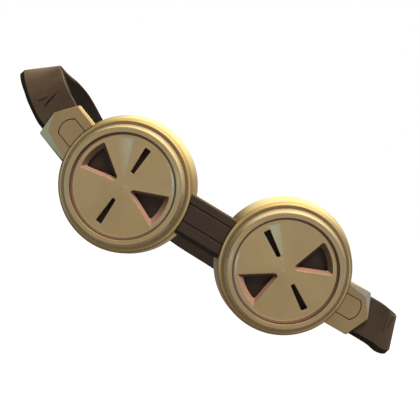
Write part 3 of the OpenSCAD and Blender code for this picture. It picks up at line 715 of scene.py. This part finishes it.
def cup_pieces(side_name):
    deep, wide = 2.1, FRONT_R - FOOT_R - 1.15
    shoulder = []
    for k in range(13):
        a = math.radians(90 * k / 12)
        z = BARREL_DEPTH - deep * (1 - math.sin(a))
        shoulder.append((wall_r(z) - wide * (1 - math.cos(a)), z))
    barrel = softened(
        [
            (BORE_R, 0),
            (REAR_R, 0),
            *shoulder,
            (SEAT_R, BARREL_DEPTH),
            (SEAT_R, SHELF_TOP),
            (SHELF_R, SHELF_TOP),
            (SHELF_R, SHELF_BOTTOM),
            (BORE_R, SHELF_BOTTOM),
        ],
        [0.2, 0.45] + [0] * len(shoulder) + [0.12, 0.05, 0.15, 0.1, 0.3],
        8,
    )
    # the faces of the front annulus take the darker brass as painted shade
    ring_piece(
        side_name, "_cup_barrel", "_barrel", barrel, [AGED_BRASS, SHADE_BRASS],
        lambda r, z: z > BARREL_DEPTH - 0.03,
    )
    bezel = softened(
        [
            (RECESS_R, SPIGOT_Z),
            (SPIGOT_R, SPIGOT_Z),
            (SPIGOT_R, BARREL_DEPTH),
            (FOOT_R, BARREL_DEPTH),
            (FOOT_R, BARREL_DEPTH + BEZEL_STEP),
            (OPENING_R + BEZEL_FACE_W, CUP_H),
            (OPENING_R, CUP_H),
            (OPENING_R, LIP_Z),
            (RECESS_R, LIP_Z),
        ],
        [0.1, 0.1, 0.0, 0.05, 0.5, 0.55, 0.3, 0.12, 0.05],
        8,
    )
    # the sloped ring takes the lighter brass copy as painted light
    ring_piece(
        side_name, "_bezel_ring", "_bezel", bezel, [BEZEL_BRASS, SLOPE_LIT_BRASS],
        lambda r, z: BARREL_DEPTH < z < CUP_H - 0.25 and r > OPENING_R + 1,
    )


for name in SIDES:
    cup_pieces(name)
    face_disc(name)


# ---- head strap and bridge ----


def plate_point(side_name, u, v, z):
    side, a = SIDES[side_name], math.radians(PLATE_TURN[side_name])
    w = v + PLATE_DROP[side_name]
    x, y = u * math.cos(a) - w * math.sin(a), u * math.sin(a) + w * math.cos(a)
    return cup_matrix(side) @ Vector((side * x, y, z))


def right_z(share):
    return RIGHT_RISE + (BACK_SAG - RIGHT_RISE) * share


STRAP_START_U = wall_r(0.95) + 0.03 + 1.5 + 0.8 + 0.4
ZONE_START = Vector((LOOP_RIGHT * 0.324, LOOP_BACK * 0.95, BACK_SAG * 1.04))
ZONE_DIR = Vector((LOOP_RIGHT * 0.509, -LOOP_BACK * 0.223, -BACK_SAG * 0.49)).normalized()
ZONE_I = 10
ROUTE = [
    plate_point("left", STRAP_START_U, 0, STRAP_Z),
    plate_point("left", PLATE_REACH["left"] + 0.5, 0, STRAP_Z),
    Vector((-LOOP_LEFT * 0.94, -LOOP_BACK * 0.008, LEFT_RISE * 0.886)),
    Vector((-LOOP_LEFT, LOOP_BACK * 0.124, LEFT_RISE * 1.055)),
    Vector((-LOOP_LEFT * 0.989, LOOP_BACK * 0.364, LEFT_RISE * 0.841)),
    Vector((-LOOP_LEFT * 0.865, LOOP_BACK * 0.62, LEFT_RISE * 0.55)),
    Vector((-LOOP_LEFT * 0.67, LOOP_BACK * 0.802, BACK_SAG * 0.09)),
    Vector((-LOOP_LEFT * 0.4, LOOP_BACK * 0.934, BACK_SAG * 0.56)),
    Vector((-LOOP_LEFT * 0.14, LOOP_BACK, BACK_SAG * 0.94)),
    Vector((LOOP_RIGHT * 0.092, LOOP_BACK * 0.992, BACK_SAG * 1.04)),
    ZONE_START,
    ZONE_START + OVERLAP_L * ZONE_DIR,
    Vector((LOOP_RIGHT * 0.978, LOOP_BACK * 0.545, right_z(0.33))),
    Vector((LOOP_RIGHT * 1.045, LOOP_BACK * 0.347, right_z(0.21))),
    Vector((LOOP_RIGHT * 1.067, LOOP_BACK * 0.14, right_z(0.12))),
    Vector((LOOP_RIGHT * 1.004, LOOP_BACK * 0.004, right_z(0.05))),
    plate_point("right", PLATE_REACH["right"] + 0.5, 0, STRAP_Z),
    plate_point("right", STRAP_START_U, 0, STRAP_Z),
]
LEAN = [0, 0, 24, 56, 40, 15, 4, 0, 0, 0, 0, 0, 5, 12, 16, 12, 0, 0]
LAST_I = len(ROUTE) - 1
# places in the strap's list of materials
STRAP_FRONT, STRAP_SIDE, STRAP_REAR, STRAP_LIT_EDGE = 0, 1, 2, 3


def route_dir(i):
    if i <= 1:
        return (ROUTE[1] - ROUTE[0]).normalized()
    if i >= LAST_I - 1:
        return (ROUTE[LAST_I] - ROUTE[LAST_I - 1]).normalized()
    if i in (ZONE_I, ZONE_I + 1):
        return ZONE_DIR
    return (ROUTE[i + 1] - ROUTE[i - 1]).normalized()


def curve_at(u):
    i = min(int(math.floor(u)), LAST_I - 1)
    s = u - i
    length = (ROUTE[i + 1] - ROUTE[i]).length
    return (
        (2 * s**3 - 3 * s**2 + 1) * ROUTE[i]
        + (s**3 - 2 * s**2 + s) * length * route_dir(i)
        + (3 * s**2 - 2 * s**3) * ROUTE[i + 1]
        + (s**3 - s**2) * length * route_dir(i + 1)
    )


def strap_frame(u):
    """Place, direction across the strap and direction out of its outer face."""
    along = (curve_at(min(u + 0.01, LAST_I)) - curve_at(max(u - 0.01, 0))).normalized()
    up = (Vector((0, 0, 1)) - along.z * along).normalized()
    out = up.cross(along)
    i = min(int(math.floor(u)), LAST_I - 1)
    a = math.radians(LEAN[i] + (LEAN[i + 1] - LEAN[i]) * ease(u - i))
    across = math.cos(a) * up - math.sin(a) * out
    return curve_at(u), across, across.cross(along)


def layer_shift(u, start, end):
    """How far the strap lies below its route: one layer before start, none after end."""
    return -LAYER * (1 - step(u, start, end))


def strap_section():
    """Section in (across, out): wide bevel low on the outer face, rounded edges."""
    w, t = STRAP_W / 2, STRAP_T / 2
    return softened(
        [
            (-w + 0.05, -t),
            (w - 0.05, -t),
            (w, t),
            (-w + STRAP_BEVEL, t),
            (-w, t - STRAP_T * 0.6),
        ],
        [0.45, 0.45, 0.5, 0.35, 0.3],
    )


def to_segment(p, a, b):
    """Distance of p from the line a-b, and how far along it p lies, from 0 to 1."""
    d = b - a
    t = max(0.0, min(1.0, (p - a).dot(d) / d.length_squared))
    return (p - a - t * d).length, t


def dent_at(u, a, creases):
    """Depth of the creases at one point. A crease is two points in (place on the route,
    across), a depth, a half width and its ridges' height as a share of the depth."""
    dent = 0.0
    for (u0, a0), (u1, a1), depth, wide, ridge in creases:
        if not min(u0, u1) - 0.15 < u < max(u0, u1) + 0.15:
            continue
        scale = (curve_at(u1 + 1e-3) - curve_at(u1)).length / 1e-3
        start, end = Vector((u0 * scale, a0)), Vector((u1 * scale, a1))
        far, t = to_segment(Vector((u * scale, a)), start, end)
        groove = math.exp(-((far / wide) ** 2))
        side = math.exp(-(((far - 3 * wide) / (1.7 * wide)) ** 2))
        dent += depth * groove * swelling(t)
        dent -= depth * ridge * side * swelling(t)
    return dent


def section_kinds(section):
    """The material of each side of the strap's section."""
    w, t = STRAP_W / 2, STRAP_T / 2
    kinds = []
    for (a0, o0), (a1, o1) in zip(section, section[1:] + section[:1]):
        # painted highlight: the upper rounded edge of the outer face takes the pale leather
        if min(a0, a1) > w - 0.45 and min(o0, o1) > t - 0.6:
            kinds.append(STRAP_LIT_EDGE)
        elif min(o0, o1) > t - 0.3 and min(a0, a1) > -w + STRAP_BEVEL - 0.4:
            kinds.append(STRAP_FRONT)
        elif max(o0, o1) < -t + 0.3:
            kinds.append(STRAP_REAR)
        else:
            kinds.append(STRAP_SIDE)
    return kinds


def strap_piece(name, node, spans, layer, creases, side, reach, flare):
    """One half of the strap. A span is a start, an end and a step on the route; layer is
    where the lap's step starts and ends; flare widens one side's edge, reach wide."""
    places = [spans[0][0]]
    for start, end, length in spans:
        rows = int(math.ceil((end - start) / length))
        places += [start + (end - start) * k / rows for k in range(1, rows + 1)]
    section = divided(strap_section(), 0.55)
    sections, dents = [], []
    for u in places:
        shift, wider = layer_shift(u, *layer), between(flare, u)
        here = []
        for a, o in section:
            if side * a > STRAP_W / 2 - reach:
                a += side * wider
            dent = dent_at(u, a, creases) if o > STRAP_T / 2 - 0.3 else 0.0
            dents.append(dent)
            ripple = 0.05 * noise.noise(Vector((u * 3.1, a * 0.14, 4.0)))
            here.append((a, o + shift - dent + ripple))
        sections.append(here)
    points, faces = lofted([strap_frame(u) for u in places], sections)
    side_kinds = section_kinds(section) * (len(places) - 1)
    # painted shade: the faces deep in a crease take the dark edge leather
    kinds = [STRAP_SIDE if dent > 0.2 else kind for dent, kind in zip(dents, side_kinds)]
    return piece(
        name, points, faces, Matrix.Identity(4),
        [STRAP_LEATHER, STRAP_EDGE_AND_CREASE_SHADE, STRAP_BACK_SHADE, STRAP_TOP_LIGHT],
        "goggles", (node,), kinds=kinds + [STRAP_SIDE] * 2,
    )


def zone_place(s):
    """A point on the straight lap, s mm from its start, and the way out of its face."""
    return curve_at(ZONE_I + s / OVERLAP_L), strap_frame(ZONE_I + 0.5)[2]


def punched(made, holes, radius):
    """Round holes cut through a piece; each hole is a place and an axis in mm."""
    points, faces, count = [], [], 32
    for place, axis in holes:
        side = axis.orthogonal().normalized()
        other = axis.cross(side)
        base = len(points)
        for along in (-3.0, 3.0):
            for x, y in circle(1, count):
                points.append((place + along * axis + radius * (x * side + y * other)) * MM)
        faces += grid(2, count, (False, True), base=base)
        faces.append(tuple(reversed(range(base, base + count))))
        faces.append(tuple(range(base + count, base + 2 * count)))
    tool = placed("punch", new_mesh("punch", points, faces, STRAP_EDGE_AND_CREASE_SHADE))
    cutter = made.modifiers.new("holes", "BOOLEAN")
    cutter.object = tool
    cutter.operation = "DIFFERENCE"
    cutter.solver = "EXACT"
    graph = bpy.context.evaluated_depsgraph_get()
    cut_mesh = bpy.data.meshes.new_from_object(made.evaluated_get(graph))
    made.modifiers.clear()
    made.data = cut_mesh
    bpy.data.objects.remove(tool)


LEFT_CREASES = [
    ((1.24, -2.8), (1.36, 5.8), 0.5, 0.3, 0.4),
    ((1.50, -4.2), (1.40, 1.0), 0.42, 0.3, 0.4),
]
LEFT_FLARE = [
    (0.5, 0), (1.0, 1.0), (1.3, 1.95), (1.5, 1.9), (2.0, 1.7),
    (2.25, 1.1), (2.6, 0.4), (3.3, 0.5), (4.0, 0.8), (4.6, 0),
]
RIGHT_CREASES = [
    ((15.36, 8.2), (15.25, -1.0), 0.5, 0.6, 0.0),
    ((14.8, 7.8), (14.95, 2.2), 0.5, 0.6, 0.0),
]
RIGHT_FLARE = [(15.3, 0), (15.95, 0.9), (16.5, 0.9), (17, 0)]
left_half = strap_piece(
    "head_strap_left", "strap_left",
    [(0, 1.1, 0.05), (1.1, 1.65, 0.01), (1.65, ZONE_I + 0.97, 0.025)],
    (-2, -1), LEFT_CREASES, 1, 0.9, LEFT_FLARE,
)
strap_piece(
    "head_strap_right", "strap_right",
    [(ZONE_I + 0.03, 14.6, 0.025), (14.6, 15.5, 0.008), (15.5, LAST_I, 0.04)],
    (ZONE_I + 1, ZONE_I + 3), RIGHT_CREASES, -1, STRAP_BEVEL + 0.2, RIGHT_FLARE,
)
punched(left_half, [zone_place(STUD_S + k * HOLE_PITCH) for k in (-1, 0, 1)], HOLE_R)


# ---- eye pads ----

PAD_TOP = -0.05
PAD_STEPS = 360
SEAM_Z = -1.7
PUCKER_Z, PUCKERS = -2.4, 46
STITCHES, STITCH_PARTS, STITCH_SIDES = 64, 6, 6
STITCH_HALF, STITCH_Z, STITCH_IN = 0.9, -0.95, 0.28


def pad_ring(side_name):
    """Padded leather ring with puckers along its seam."""
    inner, skirt_in = PAD_OUTER_R - PAD_W, SKIRT_R - SKIRT_W
    profile = softened(
        [
            (inner, PAD_TOP),
            (skirt_in, PAD_TOP),
            (skirt_in, SKIRT_Z),
            (SKIRT_R, SKIRT_Z),
            (SKIRT_R, PAD_TOP),
            (PAD_OUTER_R, PAD_TOP),
            (PAD_OUTER_R, -PAD_DEPTH),
            (inner, -PAD_DEPTH),
        ],
        [0.5, 0, 0.2, 0.2, 0, 0.5, 2.7, 2.7],
        10,
    )
    profile = divided(profile, 0.45)
    middle = (inner + PAD_OUTER_R) / 2
    points = []
    for k in range(PAD_STEPS):
        t = math.tau * k / PAD_STEPS
        ripple = 0.5 + 0.5 * math.sin(PUCKERS * t + 1.2 * math.sin(5 * t))
        for r, z in profile:
            if z < -0.2:
                outward = 1 if r > middle else -1
                seam = math.exp(-(((z - SEAM_Z) / 0.35) ** 2))
                pucker = math.exp(-(((z - PUCKER_Z) / 1.5) ** 2)) * ripple
                wave = noise.noise(Vector((*polar(3, t), z * 0.25)))
                share = min(1.0, abs(r - middle) / 3.8)
                r -= outward * share * (0.3 * seam + 0.24 * pucker + 0.12 * (wave + 1))
                z += (1 - share) * 0.16 * (wave + 1)
            points.append((*polar(r, t), z))
    faces = grid(PAD_STEPS, len(profile), (True, True), mirror=True)
    made = piece(
        side_name + "_eye_pad", points, flipped(faces) if area(profile) > 0 else faces,
        cup_matrix(SIDES[side_name]), [PAD_LEATHER],
        "goggles", (side_name + "_pad",), sharp=60,
    )


def pad_stitches(side_name):
    """The row of stitches round a pad."""
    points, faces = [], []
    half = STITCH_HALF / PAD_OUTER_R
    ring = STITCH_SIDES
    for k in range(STITCHES):
        base = len(points)
        for part in range(STITCH_PARTS + 1):
            share = part / STITCH_PARTS
            a = math.tau * k / STITCHES - half + 2 * half * share
            lift = 0.16 * math.sin(math.pi * share)
            for x, z in circle(0.2 * swelling(share), ring):
                points.append((*polar(PAD_OUTER_R - STITCH_IN + lift + x, a), STITCH_Z + z))
        faces += grid(STITCH_PARTS + 1, ring, (False, True), base=base)
        faces.append(tuple(reversed(range(base, base + ring))))
        faces.append(tuple(range(len(points) - ring, len(points))))
    piece(
        side_name + "_pad_stitches", points, faces, cup_matrix(SIDES[side_name]), [THREAD],
        "goggles", sharp=60,
    )


for name in SIDES:
    pad_ring(name)
    pad_stitches(name)


# ---- CAD nodes that show as they are, with softened edges ----


def finished(node, materials, bevel=0.0):
    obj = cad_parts[node]
    obj.data.materials.clear()
    for material in materials:
        obj.data.materials.append(material)
    if bevel:
        planar = obj.modifiers.new("planar", "DECIMATE")
        planar.decimate_type = "DISSOLVE"
        planar.angle_limit = math.radians(0.5)
        planar.delimit = {"MATERIAL"}
        edge = obj.modifiers.new("edge", "BEVEL")
        edge.width = bevel
        edge.segments = 2
        edge.limit_method = "ANGLE"
        edge.angle_limit = math.radians(35)
        edge.harden_normals = True
    return obj


METAL_BEVEL, LEATHER_BEVEL = 0.00012, 0.0002
for name in SIDES:
    finished(name + "_lens", [DARK_LENS])
    finished(name + "_gasket", [GASKET_RUBBER])
    finished(name + "_snap_ring", [DARK_BRASS])
    finished(name + "_pad_ring", [DARK_BRASS])
    plate = finished(name + "_side_plate", [PLATE_BRASS, GROOVE_SHADE], METAL_BEVEL)
    to_cup = cup_matrix(SIDES[name]).inverted()
    # painted shade: the faces inside the tongue's groove take the dark brass
    for polygon in plate.data.polygons:
        place = to_cup @ (polygon.center / MM)
        facing = (to_cup.to_3x3() @ polygon.normal).z
        in_groove = PLATE_FACE_Z - GROOVE_D - 0.02 < place.z < PLATE_FACE_Z - 0.05
        on_face = place.xy.length < PLATE_REACH[name] - 1.0
        if in_groove and on_face and (facing > 0.99 or abs(facing) < 0.3):
            polygon.material_index = 1
    finished(name + "_backing_plate", [DARK_BRASS], METAL_BEVEL)
for name in ("plate_rivets", "bridge_rivets", "strap_rivets", "strap_stud", "strap_keeper"):
    finished(name, [DARK_BRASS])
finished("bridge_strap", [BRIDGE_LEATHER], LEATHER_BEVEL)


# ---- floor, light and camera ----

FLOOR_Z, FLOOR_HALF = -0.3, 6
ROOM_LIGHT = 0.26
FLOOR_GLOW = 0.9


def to_viewer(tree):
    """1 for rays that show the background to the camera, in a shine or through a lens."""
    path = tree.nodes.new("ShaderNodeLightPath")
    seen = path.outputs["Is Camera Ray"]
    for ray in ("Is Glossy Ray", "Is Transmission Ray"):
        either = tree.nodes.new("ShaderNodeMath")
        either.operation = "MAXIMUM"
        tree.links.new(seen, either.inputs[0])
        tree.links.new(path.outputs[ray], either.inputs[1])
        seen = either.outputs[0]
    return seen


world = bpy.data.worlds.new("studio")
bpy.context.scene.world = world
world.use_nodes = True
background = world.node_tree.nodes["Background"]
background.inputs["Color"].default_value = (1, 1, 1, 1)
level = world.node_tree.nodes.new("ShaderNodeMapRange")
level.inputs["To Min"].default_value = ROOM_LIGHT
level.inputs["To Max"].default_value = 1.0
world.node_tree.links.new(to_viewer(world.node_tree), level.inputs["Value"])
world.node_tree.links.new(level.outputs[0], background.inputs["Strength"])

paper = Nodes("floor_paper")
paper.set(
    Base_Color=(0.6, 0.6, 0.6, 1),
    Roughness=0.9,
    Specular_IOR_Level=0.0,
    Emission_Color=(1, 1, 1, 1),
    Emission_Strength=paper.times(to_viewer(paper.tree), FLOOR_GLOW),
)
corners = [
    (x * FLOOR_HALF, y * FLOOR_HALF, FLOOR_Z)
    for x, y in ((-1, -1), (1, -1), (1, 1), (-1, 1))
]
placed("floor", new_mesh("floor", corners, [(0, 1, 2, 3)], paper.mat))


def lamp(name, place, aim, size, power, colour):
    data = bpy.data.lights.new(name, "AREA")
    data.energy = power
    data.color = colour
    data.size = size
    made = placed(name, data)
    made.location = place
    made.rotation_euler = (Vector(aim) - Vector(place)).to_track_quat("-Z", "Y").to_euler()


lamp("top", (0.0, 0.22, 0.75), (0, -0.01, 0), 0.3, 4.5, (1.0, 0.95, 0.84))
lamp("front", (-0.04, -0.47, 0.85), (0, 0, 0), 0.5, 9.5, (1.0, 0.97, 0.92))


# ---- cards of the studio, which only glossy rays see ----

CAMERA_MM = (-9.07, -626.58, 71.30)
CAMERA_AT = Vector(CAMERA_MM)
card_paint = bpy.data.materials.new("card")
card_paint.use_nodes = True
card_tree = card_paint.node_tree
card_tree.nodes.clear()
card_colour = card_tree.nodes.new("ShaderNodeAttribute")
card_colour.attribute_name = "tone"
card_light = card_tree.nodes.new("ShaderNodeEmission")
card_out = card_tree.nodes.new("ShaderNodeOutputMaterial")
card_tree.links.new(card_colour.outputs["Color"], card_light.inputs["Color"])
card_tree.links.new(card_light.outputs[0], card_out.inputs["Surface"])


def card(name, rows, tone):
    """A studio card from rows of points in metres; tone gives the light of point (i, j)."""
    count, across = len(rows), len(rows[0])
    faces = grid(count, across, (False, False))
    mesh = new_mesh(name, [p for row in rows for p in row], faces, card_paint)
    layer = mesh.color_attributes.new("tone", "FLOAT_COLOR", "POINT")
    for i in range(count):
        for j in range(across):
            layer.data[i * across + j].color = (*tone(i / (count - 1), j / (across - 1)), 1)
    made = placed(name, mesh)
    for rays in ("camera", "diffuse", "transmission", "shadow", "volume_scatter"):
        setattr(made, "visible_" + rays, False)


def mirror_ray(place, normal):
    """The direction in which the camera's view of a place leaves after its mirror."""
    view = (CAMERA_AT - place).normalized()
    return 2 * normal.dot(view) * normal - view


def mirrored(side_name, r, z, azimuth, tilt, far):
    """Where the camera's view of a point of a cup lands; the normal tilts off the axis."""
    m, a, t = cup_matrix(SIDES[side_name]), math.radians(azimuth), math.radians(tilt)
    place = m @ Vector((*polar(r, a), z))
    normal = m.to_3x3() @ Vector((*polar(math.sin(t), a), math.cos(t)))
    return (place + far * mirror_ray(place, normal)) * MM


def mirror_card(name, side_name, turn, radii, z, tilts, tone, far=1200.0):
    """A card that a ring of the cup mirrors; turn, radii and tilts each have two ends.
    tone takes the shares along turn and along the others."""
    rows = [
        [
            mirrored(
                side_name,
                radii[0] + (radii[1] - radii[0]) * j / 6,
                z,
                turn[0] + (turn[1] - turn[0]) * i / 12,
                tilts[0] + (tilts[1] - tilts[0]) * j / 6,
                far,
            )
            for j in range(7)
        ]
        for i in range(13)
    ]
    card(name, rows, tone)


WHITE = (1.0, 1.0, 1.0)
WEDGE_TONE = (1.8, 3.5, 3.9)
SLOPE_TONES = (0.9, 0.75, 0.4), (2.2, 2.7, 2.6)
LIP_TONE = (3.0, 7.5, 9.5)
CONE_TILT = math.degrees(math.atan(CONE_RISE / FLOOR_R))
SLOPE_RUN = FOOT_R - OPENING_R - BEZEL_FACE_W
SLOPE_RISE = CUP_H - BARREL_DEPTH - BEZEL_STEP
SLOPE_TILT = 90 - math.degrees(math.atan(SLOPE_RUN / SLOPE_RISE))
# azimuths of each card's sharp and soft edge; a wedge also has the light at its soft edge
WEDGES = {"left": (105.6, 122.6, 0.15), "right": (141.6, 125.1, 0.75)}
SLOPES = {"left": (105.0, 125.0), "right": (141.5, 157.0)}
LIPS = {"left": (42.3, 12.0), "right": (188.4, 214.0)}
FACETS = {"left": (1.0, 1.8, 2.8), "right": (1.2, 1.9, 3.8)}
FACET_CARD_FAR = 250  # mm, nearer than the dome and the low card
FACET_CARD_HALF = 0.045

for name, (sharp, soft, light) in WEDGES.items():
    mirror_card(
        name + "_wedge_card", name, (sharp, soft), (2.0, 21.5), DISH_Z, [CONE_TILT] * 2,
        lambda i, j, k=light: blended(
            WHITE, WEDGE_TONE, (1 - (1 - k) * i) * min(1.0, 0.15 + 0.95 * j)
        ),
    )
for name, turn in SLOPES.items():
    mirror_card(
        name + "_slope_card", name, turn, (24.0, 25.3), 15.0,
        (SLOPE_TILT - 1.5, SLOPE_TILT + 1.5),
        lambda i, j: blended(*SLOPE_TONES, 1 - i), 500.0,
    )
for name, turn in LIPS.items():
    mirror_card(
        name + "_lip_card", name, turn, (20.8, 25.4), CUP_H, (-0.3, 0.3),
        lambda i, j: blended(WHITE, LIP_TONE, 1 - i), 600.0,
    )
# pale cards that the plates' corner facets mirror
for name in SIDES:
    plate, to_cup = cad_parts[name + "_side_plate"], cup_matrix(SIDES[name]).inverted()
    for number, polygon in enumerate(plate.data.polygons):
        facing = (to_cup.to_3x3() @ polygon.normal).z
        if 0.8 < facing < 0.995 and polygon.area > 1e-6:
            place = polygon.center / MM
            away = mirror_ray(place, polygon.normal)
            side = away.orthogonal().normalized()
            other = away.cross(side)
            middle = (place + FACET_CARD_FAR * away) * MM
            card(
                f"{name}_facet_card_{number}",
                [
                    [middle + FACET_CARD_HALF * (x * side + y * other) for x in (-1, 1)]
                    for y in (-1, 1)
                ],
                lambda i, j, k=FACETS[name]: k,
            )

# the room round the goggles, as a dome: warm and bright high up and behind, brown low down
ROOM_LOW, ROOM_HIGH, ROOM_TOP = (0.34, 0.32, 0.28), (2.6, 2.5, 1.5), (2.4, 2.3, 1.7)
ROOM_LEFT, ROOM_RIGHT = (0.16, 0.12, 0.08), (0.66, 0.52, 0.36)
FRONT_LOW = (0.85, 0.84, 0.82)
ROOM_R = 0.72
ROOM_DEPTH = 0.29  # the low part lies just over the floor
# elevations in degrees: past 90 is in front, past -90 below and in front
ROOM_FROM, ROOM_TO = -100, 165
FRONT_FROM, FRONT_TO = -100, -172


def room_tone(i, j):
    """Light of the dome: i runs from below over the top to the front, j left to right."""
    up, turn = ROOM_FROM + (ROOM_TO - ROOM_FROM) * i, math.radians(-90 + 180 * j)
    x = math.sin(turn) * math.cos(math.radians(up))
    side = blended(ROOM_LEFT, ROOM_RIGHT, step(x, -0.25, 0.3))
    low = blended(ROOM_LOW, side, step(up, -30, -4))
    top = blended(ROOM_HIGH, ROOM_TOP, step(up, 35, 80))
    # the azimuth on the cup whose wall and shoulder mirror this point, from straight up
    azimuth = math.degrees(math.atan2(x, math.sin(math.radians(up)) + 0.1))
    share = step(up, 1, 12) * math.exp(-(((azimuth + 8) / 48) ** 4))
    return blended(WHITE, blended(low, top, share), step(up, ROOM_TO, 145))


def front_tone(i, j):
    """Light of the low front card: brown just over the floor, white further up."""
    shade = blended(ROOM_LOW, FRONT_LOW, step(i, 0.35, 0.75))
    return blended(shade, WHITE, step(i, 0.75, 1.0))


def dome(low, high, rows, columns):
    """Rows of points on the dome between two elevations, each from left to right."""
    out = []
    for i in range(rows + 1):
        e = math.radians(low + (high - low) * i / rows)
        far = min(ROOM_R, ROOM_DEPTH / max(1e-6, -math.sin(e)))
        y, z = polar(far, e)
        turns = [math.radians(-90 + 180 * j / columns) for j in range(columns + 1)]
        out.append([(y * math.sin(a), y * math.cos(a), z) for a in turns])
    return out


card("room_card", dome(ROOM_FROM, ROOM_TO, 70, 48), room_tone)
card("low_card", dome(FRONT_FROM, FRONT_TO, 24, 24), front_tone)

FOCAL_PX, PHOTO_PX, SENSOR_MM = 1500, 420, 36
camera_data = bpy.data.cameras.new("camera")
camera_data.sensor_width = SENSOR_MM
camera_data.lens = FOCAL_PX / PHOTO_PX * SENSOR_MM
camera_data.clip_start = 0.01
camera = placed("camera", camera_data)
camera.matrix_world = Matrix(
    (
        (0.886819, -0.46195, -0.012497, CAMERA_MM[0] * MM),
        (0.037271, 0.098454, -0.994443, CAMERA_MM[1] * MM),
        (0.460613, 0.881424, 0.104528, CAMERA_MM[2] * MM),
        (0, 0, 0, 1),
    )
)
bpy.context.scene.camera = camera
bpy.context.scene.view_settings.view_transform = "Standard"
